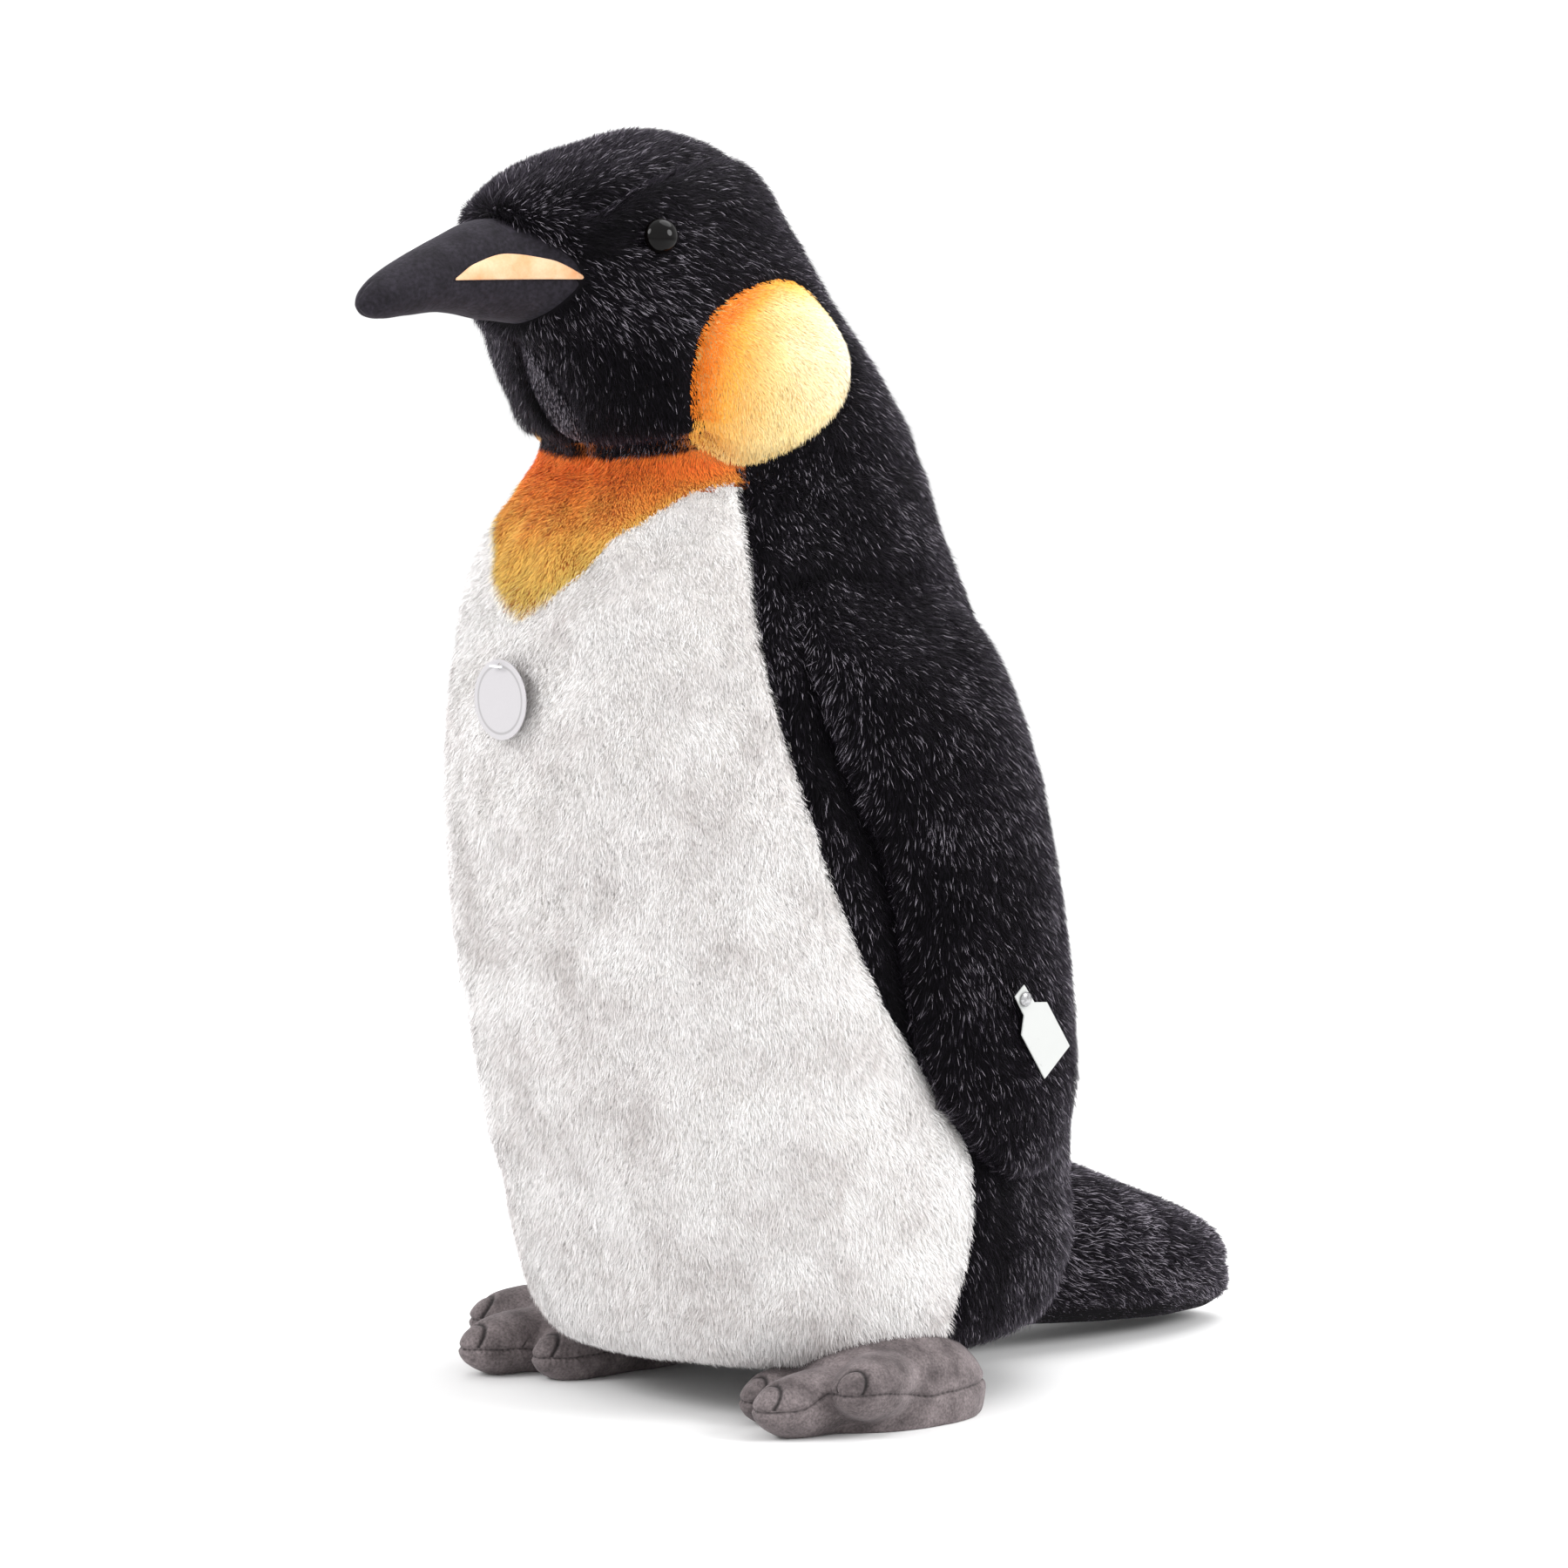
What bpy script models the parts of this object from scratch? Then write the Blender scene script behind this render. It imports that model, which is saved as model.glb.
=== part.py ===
"""Large plush penguin, standing, as sewn panels over stuffing, with wings that lift.

Frame: metres, +Z up, the bird faces -Y and its left side is +X. The origin is on the floor under
the middle of its bounding box. The body's form is the surface of the pile's tips; the cloth panels
lie a little below it, and the stuffing just inside the panels.
"""
import math

import bmesh
import bpy
from mathutils import Matrix, Vector

# ---- driving dimensions, in metres ----
PILE_CRUSH = 0.003       # depth of the pile that gives way before the cloth stops a finger
COAT = 0.003             # thickness of a panel: backing and matted pile
STUFFING_GAP = 0.001     # panel to stuffing
SEAM = 0.0010            # gap between two panels along a seam
TOUCH = 0.0004           # gap between pieces that rest on each other
SEGMENTS = 32            # facets round the body
COAT_IN = PILE_CRUSH + COAT
FILL = COAT_IN + STUFFING_GAP

NECK_Z = 0.509           # crease between head and body
BASE_Z = 0.036           # seam round the base panel

# The body's form, from base to crown: height, front, back, half width
FORM = [
    (0.020, -0.115, 0.085, 0.100),
    (0.030, -0.138, 0.112, 0.126),
    (0.050, -0.152, 0.130, 0.139),
    (0.080, -0.162, 0.137, 0.145),
    (0.130, -0.177, 0.137, 0.147),
    (0.180, -0.190, 0.135, 0.147),
    (0.230, -0.201, 0.128, 0.147),
    (0.280, -0.209, 0.119, 0.146),
    (0.330, -0.213, 0.108, 0.143),
    (0.380, -0.213, 0.092, 0.137),
    (0.420, -0.211, 0.076, 0.130),
    (0.450, -0.204, 0.065, 0.121),
    (0.475, -0.192, 0.058, 0.111),
    (0.494, -0.176, 0.053, 0.103),
    (0.506, -0.167, 0.048, 0.098),
    (0.518, -0.176, 0.043, 0.098),
    (0.535, -0.187, 0.033, 0.097),
    (0.560, -0.202, 0.016, 0.092),
    (0.585, -0.212, -0.003, 0.084),
    (0.610, -0.219, -0.022, 0.078),
    (0.632, -0.221, -0.037, 0.072),
    (0.650, -0.210, -0.047, 0.063),
    (0.664, -0.186, -0.063, 0.048),
    (0.674, -0.158, -0.085, 0.028),
]
CROWN = (0.0, -0.121, 0.681)
FULLNESS_BODY = 2.3      # squareness of the cross-section; 2 is an ellipse
FULLNESS_HEAD = 2.1

# Seams, each as the few points that its line needs
BELLY_SEAM = [(-0.130, 0.505), (-0.138, 0.476), (-0.142, 0.424), (-0.133, 0.379), (-0.115, 0.316),
              (-0.083, 0.237), (-0.040, 0.178), (-0.012, 0.143), (-0.008, 0.110), (-0.012, 0.083),
              (-0.020, 0.050), (-0.024, 0.010)]                     # y, z
BIB_EDGE = [(0.0, 0.421), (0.020, 0.434), (0.041, 0.454), (0.053, 0.474), (0.063, 0.487),
            (0.075, 0.497), (0.130, 0.501)]                         # x, z
COLLAR_TOP = [(0.130, 0.5225), (0.086, 0.5190), (0.060, 0.5120), (0.0, 0.5070)]  # x, z
COLLAR_BACK_Y = -0.110
EAR_PATCH = [(-0.089, 0.602), (-0.125, 0.592), (-0.144, 0.575), (-0.149, 0.552), (-0.145, 0.530),
             (-0.131, 0.510), (-0.118, 0.505), (-0.100, 0.509), (-0.072, 0.525), (-0.050, 0.541),
             (-0.037, 0.560), (-0.041, 0.581), (-0.061, 0.597)]     # y, z
CROWN_GUSSET = [(0.0, -0.300), (0.030, -0.300), (0.036, -0.230), (0.053, -0.190), (0.052, -0.155),
                (0.045, -0.120), (0.030, -0.085), (0.012, -0.058), (0.0, -0.050)]  # x, y
CROWN_FROM_Z = 0.612
THROAT = [(0.0, 0.574), (0.010, 0.556), (0.016, 0.538), (0.013, 0.522), (0.0, 0.500)]  # x, z

# Beak: y, height of its axis, half height, half width
BEAK = [(-0.160, 0.604, 0.0280, 0.0530), (-0.185, 0.604, 0.0280, 0.0530), (-0.200, 0.605, 0.0280, 0.0450),
        (-0.215, 0.6055, 0.0270, 0.0350), (-0.230, 0.606, 0.0255, 0.0280), (-0.258, 0.6030, 0.0185, 0.0205),
        (-0.280, 0.5975, 0.0145, 0.0165), (-0.295, 0.5930, 0.0115, 0.0130),
        (-0.3040, 0.5905, 0.0075, 0.0080), (-0.3085, 0.5895, 0.0030, 0.0030)]
BEAK_COVER = 0.0018
GAPE = [(-0.100, 0.600), (-0.262, 0.600), (-0.2645, 0.570), (-0.100, 0.560)]      # y, z
PATCH = [(-0.261, 0.6012), (-0.250, 0.6085), (-0.232, 0.6130), (-0.212, 0.6105), (-0.197, 0.6012)]

# Eyes
EYE_AT_Z = 0.6236
EYE_ANGLE = 63.0         # degrees from the front, round the head
EYE_R, EYE_DOME = 0.0092, 0.0070
SHANK_R, SHANK_L = 0.0020, 0.0150
WASHER_R, WASHER_T = 0.0080, 0.0014

# Wings: height, front edge, rear edge
WING = [(0.1275, 0.016, 0.030), (0.1330, 0.002, 0.046), (0.1510, -0.018, 0.059),
        (0.1740, -0.040, 0.064), (0.2120, -0.058, 0.066), (0.2600, -0.066, 0.062),
        (0.3020, -0.076, 0.054), (0.3370, -0.092, 0.048), (0.3780, -0.106, 0.038),
        (0.4100, -0.112, 0.026), (0.4300, -0.110, 0.008), (0.4420, -0.098, -0.016)]
WING_THICK = 0.0270
WING_GAP = 0.0012        # wing to body
WING_CLOTH = 0.0025

# Tail: y, underside, top, half width
TAIL = [(0.100, 0.0100, 0.1200, 0.050), (0.140, 0.0080, 0.1160, 0.056), (0.180, 0.0050, 0.1050, 0.059),
        (0.225, 0.0020, 0.0860, 0.057), (0.257, 0.0003, 0.0735, 0.051), (0.282, 0.0003, 0.0625, 0.042),
        (0.298, 0.0030, 0.0520, 0.030), (0.3065, 0.0120, 0.0400, 0.014)]
TAIL_SEAM_Z = 0.034

# Feet: the toes' tips on the left foot with the height of each toe's middle, and the instep
FOOT_X, FOOT_Y, FOOT_Z = 0.112, -0.050, 0.010
TOES = [(0.0735, -0.128, 0.0155), (0.113, -0.139, 0.0155), (0.162, -0.104, 0.0250)]
TOE_SIZE = (0.0175, 0.036, 0.0180)
INSTEP = (0.042, 0.066, 0.040)
FOOT_SEAM_Z = 0.0170     # seam round the toes, between the upper and the sole
FOOT_CLOTH = 0.0030

# Chest tag, its fastener, and the flag on the left wing
TAG_R, TAG_T = 0.0210, 0.0008
TAG_Y, TAG_Z = -0.2165, 0.3830
TAG_HOLE_DROP, TAG_HOLE_R = 0.0035, 0.0016
THREAD_R, BAR_R, BAR_L = 0.00045, 0.0007, 0.0090
BUTTON_Y, BUTTON_Z = -0.012, 0.2260
BUTTON_R, BUTTON_SHANK = 0.0040, 0.0016
FLAG_TILT = 38.0         # degrees from hanging straight down, towards the tail
FLAG_STANDOFF, FLAG_T = 0.0026, 0.0007
FLAG = [(-0.0045, 0.0060), (0.0045, 0.0060), (0.0050, -0.0070), (0.0125, -0.0140),
        (0.0125, -0.0460), (-0.0125, -0.0460), (-0.0125, -0.0140), (-0.0050, -0.0070)]

for old in list(bpy.data.objects):
    bpy.data.objects.remove(old, do_unlink=True)

PARTS = bpy.data.collections.new("plush_penguin")
CUTTERS = bpy.data.collections.new("cutters")
for group in (PARTS, CUTTERS):
    bpy.context.scene.collection.children.link(group)


# ---- materials ----
def material(name, colour, roughness, metallic=0.0):
    made = bpy.data.materials.new(name)
    made.use_nodes = True
    shader = made.node_tree.nodes["Principled BSDF"]
    shader.inputs["Base Color"].default_value = (*colour, 1.0)
    shader.inputs["Roughness"].default_value = roughness
    shader.inputs["Metallic"].default_value = metallic
    made.diffuse_color = (*colour, 1.0)
    return made


def in_material(obj, colour, roughness=0.9, metallic=0.0):
    obj.data.materials.append(material(obj.name + "_material", colour, roughness, metallic))
    return obj


BLACK_PILE = (0.016, 0.014, 0.018)
WHITE_PILE = (0.86, 0.84, 0.81)
ORANGE_PILE = (0.90, 0.36, 0.06)
YELLOW_PILE = (0.95, 0.66, 0.22)
BEAK_VELOUR = (0.022, 0.021, 0.026)
PEACH_VELOUR = (0.90, 0.55, 0.32)
FOOT_VELOUR = (0.15, 0.13, 0.13)
STUFFING_WHITE = (0.80, 0.80, 0.78)
BLACK_GLASS = (0.008, 0.007, 0.007)
HARD_PLASTIC = (0.55, 0.55, 0.55)
PAPER_WHITE = (0.90, 0.90, 0.90)
STEEL = (0.72, 0.72, 0.72)
CANVAS = (0.62, 0.57, 0.48)


# ---- mesh helpers ----
def new_object(name, bm, group=PARTS, smooth=True):
    bmesh.ops.recalc_face_normals(bm, faces=bm.faces)
    mesh = bpy.data.meshes.new(name)
    bm.to_mesh(mesh)
    bm.free()
    if smooth:
        mesh.shade_smooth()
        mesh.set_sharp_from_angle(angle=math.radians(40))
    obj = bpy.data.objects.new(name, mesh)
    group.objects.link(obj)
    if group is CUTTERS:
        obj.hide_render = True
        obj.display_type = "WIRE"
    return obj


def ring_solid(name, rings, group=PARTS, apex=None):
    """Closed loft through rings of equally many points; apex closes the last ring with a point."""
    bm = bmesh.new()
    loops = [[bm.verts.new(point) for point in ring] for ring in rings]
    for low, high in zip(loops, loops[1:]):
        for i in range(len(low)):
            j = (i + 1) % len(low)
            bm.faces.new((low[i], low[j], high[j], high[i]))
    bm.faces.new(list(reversed(loops[0])))
    if apex is None:
        bm.faces.new(loops[-1])
    else:
        tip = bm.verts.new(apex)
        for i in range(len(loops[-1])):
            bm.faces.new((loops[-1][i], loops[-1][(i + 1) % len(loops[-1])], tip))
    return new_object(name, bm, group)


def prism(name, outline, place, low, high, group=CUTTERS):
    """Straight-sided solid of an outline; place(a, b, t) puts the outline at depth t."""
    bm = bmesh.new()
    ends = [[bm.verts.new(place(a, b, t)) for a, b in outline] for t in (low, high)]
    for i in range(len(outline)):
        j = (i + 1) % len(outline)
        bm.faces.new((ends[0][i], ends[0][j], ends[1][j], ends[1][i]))
    bm.faces.new(ends[0])
    bm.faces.new(list(reversed(ends[1])))
    return new_object(name, bm, group, smooth=False)


def box(name, low, high):
    bm = bmesh.new()
    bmesh.ops.create_cube(bm, size=1.0)
    middle = (Vector(low) + Vector(high)) / 2
    size = Vector(high) - Vector(low)
    bmesh.ops.scale(bm, verts=bm.verts, vec=size)
    bmesh.ops.translate(bm, verts=bm.verts, vec=middle)
    return new_object(name, bm, CUTTERS, smooth=False)


def rod(name, radius, length, matrix, sides=20, group=CUTTERS):
    """Cylinder along its own Z, from 0 to length."""
    bm = bmesh.new()
    bmesh.ops.create_cone(bm, cap_ends=True, segments=sides, radius1=radius, radius2=radius, depth=length)
    bmesh.ops.translate(bm, verts=bm.verts, vec=(0, 0, length / 2))
    bmesh.ops.transform(bm, verts=bm.verts, matrix=matrix)
    return new_object(name, bm, group)


def turned(name, profile, matrix, steps=16, closed=False):
    """Turned piece: a profile of (radius, height), down its outer side, about its own Z."""
    mesh = bpy.data.meshes.new(name)
    points = [(r, 0.0, h) for r, h in profile]
    edges = [(i, i + 1) for i in range(len(points) - 1)]
    if closed:
        edges.append((len(points) - 1, 0))
    mesh.from_pydata(points, edges, [])
    obj = bpy.data.objects.new(name, mesh)
    PARTS.objects.link(obj)
    screw = obj.modifiers.new("Screw", "SCREW")
    screw.steps = screw.render_steps = steps
    screw.use_merge_vertices = True
    screw.merge_threshold = 0.00001
    obj.matrix_world = matrix
    return obj


def boolean(obj, cutter, operation):
    step = obj.modifiers.new(operation.title(), "BOOLEAN")
    step.operation = operation
    step.object = cutter
    return obj


def keep(obj, cutter):
    return boolean(obj, cutter, "INTERSECT")


def remove(obj, *cutters):
    for cutter in cutters:
        boolean(obj, cutter, "DIFFERENCE")
    return obj


def grown(outline, by):
    """An outline moved outwards by a distance, given anticlockwise or clockwise."""
    count = len(outline)
    area = sum(outline[i][0] * outline[(i + 1) % count][1] - outline[(i + 1) % count][0] * outline[i][1]
               for i in range(count))
    turn = 1.0 if area > 0 else -1.0
    result = []
    for i in range(count):
        here = Vector(outline[i])
        back = (here - Vector(outline[i - 1])).normalized()
        ahead = (Vector(outline[(i + 1) % count]) - here).normalized()
        normal = (Vector((back.y, -back.x)) + Vector((ahead.y, -ahead.x))) * turn
        corner = max(0.35, (1 + back.dot(ahead)) / 2)
        result.append(tuple(here + normal * 0.5 * by / corner))
    return result


def mirrored(half):
    """Both sides of an outline whose ends lie on the middle line."""
    return half + [(-a, b) for a, b in reversed(half) if abs(a) > 1e-6]


def along_x(a, b, t):
    return (t, a, b)


def along_y(a, b, t):
    return (a, t, b)


def along_z(a, b, t):
    return (a, b, t)


# ---- the body's form ----
def smooth_between(rows, column, at):
    """Monotone smooth curve through the rows' first column and the named one."""
    xs = [row[0] for row in rows]
    ys = [row[column] for row in rows]
    at = min(max(at, xs[0]), xs[-1])
    k = max(i for i in range(len(xs) - 1) if xs[i] <= at)
    slopes = [(ys[i + 1] - ys[i]) / (xs[i + 1] - xs[i]) for i in range(len(xs) - 1)]

    def tangent(i):
        if i == 0 or i == len(xs) - 1:
            return slopes[min(i, len(slopes) - 1)]
        before, after = slopes[i - 1], slopes[i]
        return 0.0 if before * after <= 0 else 2 * before * after / (before + after)

    step = xs[k + 1] - xs[k]
    t = (at - xs[k]) / step
    return ((2 * t**3 - 3 * t**2 + 1) * ys[k] + (t**3 - 2 * t**2 + t) * step * tangent(k)
            + (-2 * t**3 + 3 * t**2) * ys[k + 1] + (t**3 - t**2) * step * tangent(k + 1))


def fullness(z):
    return FULLNESS_BODY + (FULLNESS_HEAD - FULLNESS_BODY) * min(1, max(0, (z - 0.33) / 0.12))


def form_point(angle, z):
    """Point on the pile's tips; the angle is 0 at the front and 90 degrees on the bird's left."""
    front, back, half = (smooth_between(FORM, column, z) for column in (1, 2, 3))
    power = fullness(z)
    s, c = math.sin(angle), math.cos(angle)
    r = (abs(s)**power + abs(c)**power)**(-1 / power)
    middle, depth = (front + back) / 2, (back - front) / 2
    return Vector((half * r * s, middle - depth * r * c, z))


def form_normal(angle, z):
    step = 0.0015
    low, high = max(z - step, FORM[0][0]), min(z + step, FORM[-1][0])
    round_ = form_point(angle + 0.02, z) - form_point(angle - 0.02, z)
    up = form_point(angle, high) - form_point(angle, low)
    return round_.cross(up).normalized()


def inside_form(angle, z, depth):
    return form_point(angle, z) - form_normal(angle, z) * depth


# heights of the rings of facets
LEVELS = [0.020, 0.029, 0.050, 0.090, 0.140, 0.195, 0.250, 0.305, 0.355, 0.400, 0.438, 0.468, 0.491,
          0.506, 0.521, 0.548, 0.580, 0.612, 0.638, 0.658, 0.674]


def body_loft(name, depth, group=PARTS):
    turns = [2 * math.pi * i / SEGMENTS for i in range(SEGMENTS)]
    rings = [[inside_form(angle, z, depth) for angle in turns] for z in LEVELS]
    return ring_solid(name, rings, group, apex=Vector(CROWN) - Vector((0, 0, depth)))


# ---- cutters shared by the panels ----
core_space = body_loft("cut_core_space", COAT_IN, CUTTERS)
envelope = body_loft("cut_envelope", PILE_CRUSH - TOUCH, CUTTERS)
beak_seat = body_loft("cut_beak_seat", FILL - TOUCH, CUTTERS)

collar_outline = mirrored(BIB_EDGE + COLLAR_TOP)
belly_outline = BELLY_SEAM + [(-0.300, 0.010), (-0.300, 0.505)]
throat_outline = mirrored(THROAT)
crown_outline = mirrored(CROWN_GUSSET)


def region(name, outline, place, low, high):
    """A seam's two cutters: one for the panel inside it, one a seam wider for its neighbours."""
    inner = prism("cut_" + name, outline, place, low, high)
    outer = prism("cut_" + name + "_wide", grown(outline, SEAM), place, low, high)
    return inner, outer


belly_in, belly_wide = region("belly", belly_outline, along_x, -0.3, 0.3)
collar_in, collar_wide = region("collar", collar_outline, along_y, -0.3, COLLAR_BACK_Y)
throat_in, throat_wide = region("throat", throat_outline, along_y, -0.3, -0.12)
crown_in, crown_wide = region("crown", crown_outline, along_z, CROWN_FROM_Z, 0.8)
ear_left_in, ear_left_wide = region("ear_left", EAR_PATCH, along_x, 0.02, 0.3)
ear_right_in, ear_right_wide = region("ear_right", EAR_PATCH, along_x, -0.3, -0.02)
below_base = box("cut_below_base", (-0.3, -0.3, -0.1), (0.3, 0.3, BASE_Z))
below_base_wide = box("cut_below_base_wide", (-0.3, -0.3, -0.1), (0.3, 0.3, BASE_Z + SEAM))
left_half = box("cut_left_half", (SEAM / 2, -0.4, -0.1), (0.4, 0.4, 0.8))
right_half = box("cut_right_half", (-0.4, -0.4, -0.1), (-SEAM / 2, 0.4, 0.8))
above_neck = box("cut_above_neck", (-0.3, -0.4, NECK_Z + SEAM / 2), (0.3, 0.3, 0.8))
below_neck = box("cut_below_neck", (-0.3, -0.4, -0.1), (0.3, 0.3, NECK_Z - SEAM / 2))


# ---- beak ----
def beak_loft(name, inset, group=PARTS, sides=20):
    """The beak's form; a cutter runs a little further into the head than a piece does."""
    rings = []
    for y, middle, high, wide in BEAK:
        high, wide = max(high - inset, 0.0006), max(wide - inset, 0.0006)
        end = inset if y == BEAK[-1][0] else 0.0
        if y == BEAK[0][0] and group is CUTTERS:
            end = 0.004
        rings.append([(wide * math.sin(a), y + end, middle + high * math.cos(a))
                      for a in (2 * math.pi * i / sides for i in range(sides))])
    return ring_solid(name, rings, group)


beak_hole = beak_loft("cut_beak_hole", -SEAM, CUTTERS)
beak_core = beak_loft("cut_beak_core", BEAK_COVER, CUTTERS)


# ---- feet ----
def foot_mass(name, side, shrink, group):
    """A foot: three toes and the instep, as ellipsoids joined into one body."""
    def egg(label, centre, size, heading, home):
        bm = bmesh.new()
        bmesh.ops.create_uvsphere(bm, u_segments=14, v_segments=7, radius=1.0)
        bmesh.ops.scale(bm, verts=bm.verts, vec=[max(length - shrink, 0.002) for length in size])
        bmesh.ops.rotate(bm, verts=bm.verts, cent=(0, 0, 0), matrix=Matrix.Rotation(heading, 3, "Z"))
        bmesh.ops.translate(bm, verts=bm.verts, vec=centre)
        return new_object(label, bm, home)

    mass = egg(name, (side * FOOT_X, FOOT_Y, FOOT_Z), INSTEP, 0.0, group)
    for number, (tip_x, tip_y, height) in enumerate(TOES):
        tip, root = Vector((tip_x, tip_y)), Vector((FOOT_X, FOOT_Y))
        reach = (tip - root).normalized()
        middle = tip - reach * TOE_SIZE[1]
        heading = math.atan2(-side * reach.x, reach.y)
        toe = egg("cut_%s_toe_%d" % (name, number), (side * middle.x, middle.y, height),
                  TOE_SIZE, heading, CUTTERS)
        boolean(mass, toe, "UNION")
    return mass


def eye_matrix(side):
    """Eye's own Z points out of the head."""
    angle = math.radians(EYE_ANGLE) * side
    out = form_normal(angle, EYE_AT_Z)
    seat = inside_form(angle, EYE_AT_Z, PILE_CRUSH - 0.0005)
    return Matrix.Translation(seat) @ out.to_track_quat("Z", "Y").to_matrix().to_4x4()


SIDES = {"left": 1, "right": -1}
foot_pockets, eye_holes, eye_pockets = [], [], []
for word, side in SIDES.items():
    foot_pockets.append(foot_mass("cut_foot_pocket_" + word, side, -0.0012, CUTTERS))
    at = eye_matrix(side)
    eye_holes.append(rod("cut_eye_hole_" + word, SHANK_R + TOUCH, 0.03, at @ Matrix.Translation((0, 0, -0.020))))
    eye_pockets.append(rod("cut_eye_pocket_" + word, WASHER_R + 0.001, 0.012,
                           at @ Matrix.Translation((0, 0, -0.0085))))

# ---- stuffing and weight ----
tag_post = rod("cut_tag_post", THREAD_R + 0.0005, 0.03,
               Matrix.Translation((0, TAG_Y - 0.003, TAG_Z + TAG_R - TAG_HOLE_DROP))
               @ Matrix.Rotation(math.radians(-90), 4, "X"), sides=12)
tag_bar_z = TAG_Z + TAG_R - TAG_HOLE_DROP
tag_pocket = box("cut_tag_pocket", (-0.007, -0.230, tag_bar_z - 0.003), (0.007, -0.199, tag_bar_z + 0.003))

BAG_R, BAG_H = 0.062, 0.034
bag_y = 0.020
bag_pocket = rod("cut_bag_pocket", BAG_R + 0.0015, BAG_H + 0.060,
                 Matrix.Translation((0, bag_y, -0.020)), sides=32)

body_fill = in_material(body_loft("body_stuffing", FILL), STUFFING_WHITE)
keep(body_fill, below_neck)
remove(body_fill, *foot_pockets, bag_pocket, tag_pocket)

head_fill = in_material(body_loft("head_stuffing", FILL), STUFFING_WHITE)
keep(head_fill, above_neck)
remove(head_fill, *eye_holes, *eye_pockets)

bag_floor = 0.0285
bag = turned("weight_bag", [(0.0, bag_floor + BAG_H), (BAG_R * 0.60, bag_floor + BAG_H * 0.93),
                            (BAG_R * 0.90, bag_floor + BAG_H * 0.72), (BAG_R, bag_floor + BAG_H * 0.45),
                            (BAG_R * 0.93, bag_floor + BAG_H * 0.15), (BAG_R * 0.75, bag_floor), (0.0, bag_floor)],
             Matrix.Translation((0, bag_y, 0)), steps=20)
in_material(bag, CANVAS)

# ---- panels of the coat ----
def panel(name, colour, depth=PILE_CRUSH):
    return in_material(body_loft(name, depth), colour)


for word, side in SIDES.items():
    coat = panel("side_and_back_panel_" + word, BLACK_PILE)
    keep(coat, left_half if side > 0 else right_half)
    remove(coat, core_space, belly_wide, collar_wide, throat_wide, crown_wide, below_base_wide,
           ear_left_wide if side > 0 else ear_right_wide, beak_hole,
           eye_holes[0 if side > 0 else 1], foot_pockets[0 if side > 0 else 1])
    patch = panel("ear_patch_" + word, YELLOW_PILE, PILE_CRUSH - 0.002)
    keep(patch, ear_left_in if side > 0 else ear_right_in)
    remove(patch, core_space)

belly = panel("belly_panel", WHITE_PILE)
keep(belly, belly_in)
remove(belly, core_space, collar_wide, below_base_wide, above_neck, *foot_pockets, tag_post)
collar = panel("collar_and_bib", ORANGE_PILE)
keep(collar, collar_in)
remove(collar, core_space, ear_left_wide, ear_right_wide)
throat = panel("throat_gusset", BLACK_PILE)
keep(throat, throat_in)
remove(throat, core_space, collar_wide, beak_hole)
crown = panel("crown_gusset", BLACK_PILE)
keep(crown, crown_in)
remove(crown, core_space, beak_hole)
base = panel("base_panel", BLACK_PILE)
keep(base, below_base)
remove(base, core_space, *foot_pockets)

# ---- beak pieces ----
gape_in, gape_wide = region("gape", GAPE, along_x, -0.1, 0.1)
patch_in, patch_wide = region("beak_patch", PATCH, along_x, -0.1, 0.1)
beak_fill = in_material(beak_loft("beak_stuffing", BEAK_COVER + STUFFING_GAP), STUFFING_WHITE)
remove(beak_fill, beak_seat)
upper = in_material(beak_loft("beak_upper_cover", 0.0), BEAK_VELOUR)
remove(upper, beak_seat, beak_core, gape_wide, patch_wide)
lower = in_material(beak_loft("beak_lower_cover", 0.0), BEAK_VELOUR)
keep(lower, gape_in)
remove(lower, beak_core, beak_seat, patch_wide)
for word, side in SIDES.items():
    patch = in_material(beak_loft("beak_patch_" + word, 0.0), PEACH_VELOUR)
    keep(patch, patch_in)
    keep(patch, left_half if side > 0 else right_half)
    remove(patch, beak_core, beak_seat)

# ---- eyes ----
for word, side in SIDES.items():
    at = eye_matrix(side)
    dome = [(EYE_R * math.sin(a), EYE_DOME * math.cos(a)) for a in (math.pi / 2 * i / 6 for i in range(7))]
    eye = turned("eye_" + word, dome + [(EYE_R * 0.96, -0.0004), (SHANK_R, -0.0004), (SHANK_R, -SHANK_L),
                                        (0.0, -SHANK_L)], at @ Matrix.Translation((0, 0, 0.0010)))
    in_material(eye, BLACK_GLASS, 0.06)
    washer = turned("eye_washer_" + word, [(SHANK_R + TOUCH, 0.0), (WASHER_R, 0.0), (WASHER_R, -WASHER_T),
                                           (SHANK_R + TOUCH, -WASHER_T)],
                    at @ Matrix.Translation((0, 0, -0.0052)), closed=True)
    in_material(washer, HARD_PLASTIC, 0.5)

# ---- wings ----
WING_ROWS = [WING[0][0] + (WING[-1][0] - WING[0][0]) * k for k in
             (0.0, 0.02, 0.07, 0.15, 0.26, 0.38, 0.50, 0.62, 0.74, 0.85, 0.94, 1.0)]
WING_COLUMNS = [-1.0, -0.9, -0.7, -0.4, 0.0, 0.4, 0.7, 0.9, 1.0]


def body_side_x(y, z):
    """How far out the coat's outer face is, at a side view's point."""
    front, back, half = (smooth_between(FORM, column, z) for column in (1, 2, 3))
    middle, depth = (front + back) / 2, (back - front) / 2
    power = fullness(z)
    return half * (1 - min(0.97, abs((y - middle) / depth))**power)**(1 / power) - PILE_CRUSH


def wing_y(t, z):
    front, rear = (smooth_between(WING, column, z) for column in (1, 2))
    return front + (rear - front) * (t + 1) / 2


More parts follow.
